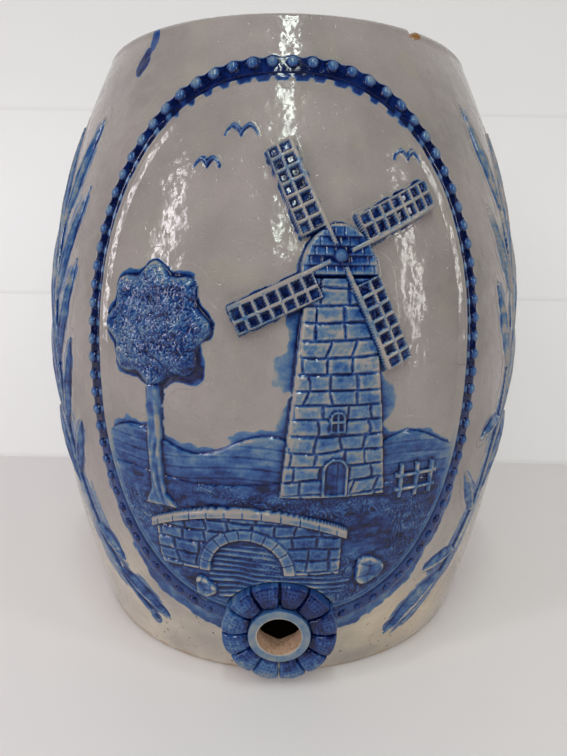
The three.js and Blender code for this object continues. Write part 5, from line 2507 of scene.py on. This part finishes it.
@dataclass
class Spray:
    """A spray of willow-like leaves up one side of the vessel."""

    front: Front
    side: str
    hand: int
    leaves: tuple[Leaf, ...]
    course: tuple[Pair, ...] = ((33, 7), (44, 16), (53, 30), (59, 48), (60, 66), (57, 78))
    foot_width: float = 3.4
    tip_width: float = 1.8
    stem_rise: float = 1.5
    leaf_rise: float = 2.5
    bow: float = 0.05
    wash: float = 2.6
    paint: Paint = Paint.PALE
    fading: Triple = (90.0, 250.0, 0.27)

    def lay(self) -> None:
        """Lays the stem, then its leaves."""
        stem = self._stem()
        self._lay_line(f"{self.side}_stem", stem, self._stem_section, self.paint, 2.7 * self.wash)
        for index, leaf in enumerate(self.leaves, start=1):
            vein = self._vein(stem, leaf)
            shape = self._leaf_section(leaf.width, index)
            self._lay_line(f"{self.side}_leaf_{index}", vein, shape, self.paint, self.wash * leaf.wash)

    def _at(self, point: Pair) -> Array:
        """Turns degrees and percent of the height into a drawing point.

        Args:
            point: Degrees round and percent of the height.

        Returns:
            The drawing point.
        """
        barrel = self.front.barrel
        arc = math.radians(point[0]) * self.hand * barrel.belly_radius
        return np.array([arc, barrel.height * point[1] / 100])

    def _stem(self) -> Array:
        """Returns the stem's line on the drawing, evenly spaced.

        Returns:
            The line's points.
        """
        line = np.array(smooth_line([self._at(point) for point in self.course], 24))
        way = np.concatenate([[0], np.cumsum(np.linalg.norm(np.diff(line, axis=0), axis=1))])
        even = np.linspace(0, way[-1], 120)
        return np.stack([np.interp(even, way, line[:, axis]) for axis in (0, 1)], -1)

    def _vein(self, stem: Array, leaf: Leaf) -> Array:
        """Returns the line of a leaf's vein, from just beside the stem to the tip.

        Args:
            stem: The stem's line.
            leaf: The leaf.

        Returns:
            The vein's points.
        """
        index = min(int(leaf.share * (len(stem) - 1)), len(stem) - 2)
        root, tip = stem[index], self._at(leaf.tip)
        ahead = stem[index + 1] - stem[index]
        across = np.array([ahead[1], -ahead[0]]) / np.linalg.norm(ahead)
        side = np.sign((tip - root) @ across)
        root = root + across * side * (self.foot_width / 2 - 0.8)
        along = tip - root
        bend = root + along / 2 + side * self.bow * np.array([-along[1], along[0]])
        share = np.linspace(0, 1, 60)[:, None]
        return (1 - share) ** 2 * root + 2 * share * (1 - share) * bend + share**2 * tip

    def _lay_line(self, node: str, line: Array, section: Section, paint: Paint, spread: float) -> None:
        """Lays a sprig that follows a line.

        Args:
            node: The CAD node that it stands for.
            line: Its middle line on the drawing.
            section: Gives the half width and the lift from the share along it and the way beside it.
            paint: How thickly it is painted.
            spread: How far the paint reaches past it.
        """
        front = self.front
        rows, columns = front.window(line, 1.2 * spread + 9.0)
        arcs, heights = front.grid(rows, columns)
        nearest, share, beside = along_line(arcs, heights, line)
        half, lift = section(share, beside)
        inside = half - nearest
        brushed = front.grain.layered(share * 60, beside + 8 * len(front.sprigs), 6.0, 0.35)
        tone = paint.value + 0.26 * brushed + 0.08 * np.minimum(np.abs(beside) / np.maximum(half, 0.5), 1)
        start, full, loss = self.fading
        tone -= loss * smooth_step(start, full, heights)
        lift = np.where(inside > -front.foot, lift, 0.0)
        slot = Slot.PALE if "leaf" in node else Slot.MID
        length = np.linalg.norm(np.diff(line, axis=0), axis=1).sum()
        brush = front.grain.layered(share * length + 31 * len(front.sprigs), beside * 5, 20.0)
        brush -= 0.6 * (smooth_step(0.1, 0.0, share) + smooth_step(0.9, 1.0, share))
        if "stem" in node:
            brush += 0.62 * smooth_step(0.08, 0.18, share) * smooth_step(0.65, 0.45, share)
        front.add(Sprig(node, slot, rows, columns, inside, lift, tone, spread, brush))

    def _stem_section(self, share: Array, beside: Array) -> tuple[Array, Array]:
        """Returns the half width and the round lift of the stem."""
        half = (self.foot_width + (self.tip_width - self.foot_width) * share) / 2
        return half, self.stem_rise * np.sqrt(np.clip(1 - (beside / (half + 0.3)) ** 2, 0, 1))

    def _leaf_section(self, width: float, index: int) -> Section:
        """Returns the section of a leaf: a pillow with a raised vein and slanting side veins.

        Args:
            width: The leaf's width.
            index: Its number.

        Returns:
            The section.
        """
        grain = self.front.grain

        def section(share: Array, beside: Array) -> tuple[Array, Array]:
            """Gives the half width and the lift at a share along and a way beside the vein.

            Args:
                share: Shares of the way along the vein.
                beside: Ways beside the vein, signed.

            Returns:
                The half widths and the lifts.
            """
            half = 0.62 * width * np.sin(np.pi * np.clip(share, 0.001, 0.999) ** 0.85) ** 0.8
            half = half + 0.35 * np.sin(share * 21 + index) * np.sin(np.pi * share)
            across = np.clip(np.abs(beside) / np.maximum(half + 0.3, 0.4), 0, 1)
            crown = self.leaf_rise * np.sin(np.pi * (0.16 + 0.72 * share)) ** 0.8
            pillow = crown * (1 - across**2.2) ** 0.7 * (0.72 + 0.05 * grain.at(share * 40, beside, 4.0))
            vein = 0.28 * crown * np.exp(-((beside / 0.75) ** 2))
            slant = np.sin(2 * np.pi * (share * 8.5 - np.abs(beside) / 7.5))
            side_veins = 0.22 * smooth_step(0.55, 1.0, slant) * smooth_step(0.08, 0.3, across) * (1 - across)
            return half, pillow + vein - side_veins

        return section


@dataclass(frozen=True)
class Lamp:
    """An oblong soft light: its place and size in metres, its watts and its linear colour."""

    name: str
    place: Triple
    size: Pair
    power: float
    colour: Triple
    mirrored: bool = True

    def hang(self, target: Vector) -> None:
        """Adds the lamp to the scene and turns it to face a target.

        Args:
            target: The point that it faces.
        """
        data = bpy.data.lights.new(self.name, "AREA")
        data.shape, data.energy, data.color = "RECTANGLE", self.power, self.colour
        data.size, data.size_y = self.size
        lamp = bpy.data.objects.new(self.name, data)
        lamp.location = self.place
        lamp.rotation_euler = (Vector(self.place) - target).to_track_quat("Z", "Y").to_euler()
        lamp.visible_glossy = self.mirrored
        bpy.context.scene.collection.objects.link(lamp)


@dataclass
class Studio:
    """The white table and wall, the soft lights and the camera."""

    wall_distance: float = 0.226
    sheet_half: float = 2.0
    table_drop: float = 0.0003
    lamps: tuple[Lamp, ...] = (
        Lamp("ceiling_strip", (0.0, -0.75, 1.0), (0.04, 1.1), 5.0, (0.88, 1.0, 0.9)),
        Lamp("room_light", (-0.3, -2.4, 1.3), (4.0, 2.8), 24.2, (1.0, 0.985, 0.99), mirrored=False),
        Lamp("left_window", (-0.85, -0.66, 0.48), (0.07, 0.78), 3.8, (1.0, 0.95, 0.98)),
        Lamp("right_window", (0.9, -0.62, 0.48), (0.06, 0.78), 2.4, (1.0, 0.99, 0.95)),
    )
    aim: Triple = (0, -0.12, 0.2)
    fill: float = 0.3
    fill_colour: Triple = (1.0, 0.985, 0.99)
    focal_pixels: float = 575.0
    long_side: int = 756
    sensor_width: float = 36.0
    eye: Triple = (0.0, -0.4176, 0.2357)
    pitch: float = math.radians(12.03)
    roll: float = math.radians(0.83)
    yaw: float = math.radians(0.06)

    def build(self) -> None:
        """Builds the stage, lights it and sets the camera."""
        flat = Matrix.Translation((0, self.wall_distance - self.sheet_half, -self.table_drop))
        self._sheet("table", StudioPaint("table_paint", "e3ddde"), flat)
        upright = Matrix.Translation((0, self.wall_distance, 0)) @ Matrix.Rotation(math.radians(90), 4, "X")
        self._sheet("backdrop", StudioPaint("wall_paint", "ebe9eb", boards=0.19), upright)
        bpy.context.scene.view_settings.view_transform = "Standard"
        self._light_world()
        for lamp in self.lamps:
            lamp.hang(Vector(self.aim))
        self._camera()

    def _sheet(self, name: str, paint: StudioPaint, place: Matrix) -> None:
        """Adds a flat sheet of the stage.

        Args:
            name: Its name.
            paint: Its finish.
            place: Where it lies.
        """
        bm = bmesh.new()
        bmesh.ops.create_grid(bm, x_segments=8, y_segments=8, size=self.sheet_half, matrix=place)
        piece = placed(finished_mesh(bm, name))
        piece.data.materials.append(paint.material())

    def _light_world(self) -> None:
        """Fills the room with soft even light, which the glaze doesn't mirror."""
        world = bpy.context.scene.world or bpy.data.worlds.new("room")
        bpy.context.scene.world = world
        world.use_nodes = True
        nodes, links = world.node_tree.nodes, world.node_tree.links
        background = nodes["Background"]
        background.inputs["Color"].default_value = (*self.fill_colour, 1.0)
        mirrored = nodes.new("ShaderNodeLightPath").outputs["Is Glossy Ray"]
        strength = nodes.new("ShaderNodeMath")
        strength.operation = "MULTIPLY_ADD"
        strength.inputs[1].default_value, strength.inputs[2].default_value = -self.fill, self.fill
        links.new(mirrored, strength.inputs[0])
        links.new(strength.outputs[0], background.inputs["Strength"])

    def _camera(self) -> None:
        """Sets the camera where the photograph was taken from."""
        data = bpy.data.cameras.new("camera")
        data.sensor_width = self.sensor_width
        data.lens = self.focal_pixels / self.long_side * self.sensor_width
        data.clip_start = 0.01
        camera = bpy.data.objects.new("camera", data)
        bpy.context.scene.collection.objects.link(camera)
        turn = (
            Matrix.Rotation(-self.yaw, 4, "Z")
            @ Matrix.Rotation(math.pi / 2 - self.pitch, 4, "X")
            @ Matrix.Rotation(self.roll, 4, "Z")
        )
        camera.matrix_world = Matrix.Translation(self.eye) @ turn
        bpy.context.scene.camera = camera


def main() -> None:
    """Builds every piece of the cooler and its studio."""
    logging.basicConfig(level=logging.INFO, format="%(name)s: %(message)s")
    barrel, oval, tap, glazes = Barrel(), Oval(), TapAxis(), Glazes()
    front = Front(barrel, oval, tap, step=FINE_STEP)
    Landscape(front).lay()
    Tree(front).lay()
    Windmill(front).lay()
    Birds(front).lay()
    Spray(
        front, "left", -1, LEFT_LEAVES + OUTER_LEAVES, wash=4.6, paint=Paint.MID, fading=(120.0, 280.0, 0.19)
    ).lay()
    Spray(front, "right", 1, RIGHT_LEAVES + OUTER_LEAVES, wash=3.0).lay()
    front.fire()
    for order, sprig in enumerate(front.sprigs):
        glazes.dress(front.model(sprig, order), sprig.slot, Body.VESSEL, sprig.node)
    border = Border(front)
    glazes.dress(border.build_beads(), Slot.NAVY, Body.VESSEL, "bead_border")
    glazes.dress(border.build_fillet(), Slot.MID, Body.VESSEL, "inner_fillet")
    seat = TapSeat(barrel, tap)
    glazes.dress(seat.build_rosette(front.grain), Slot.MID, Body.VESSEL, "tap_rosette")
    glazes.dress(seat.build_collar(front.grain), Slot.COLLAR, Body.VESSEL, "tap_collar")
    glazes.dress(Vessel(barrel, tap).build(front), Slot.GREY, Body.VESSEL, "vessel_body", wall_marks=True)
    lid = Lid()
    glazes.dress(lid.build_disc(), Slot.GREY, Body.LID, "lid")
    glazes.dress(lid.build_knob(), Slot.GREY, Body.LID, "lid_knob")
    Studio().build()


if __name__ == "__main__":
    main()
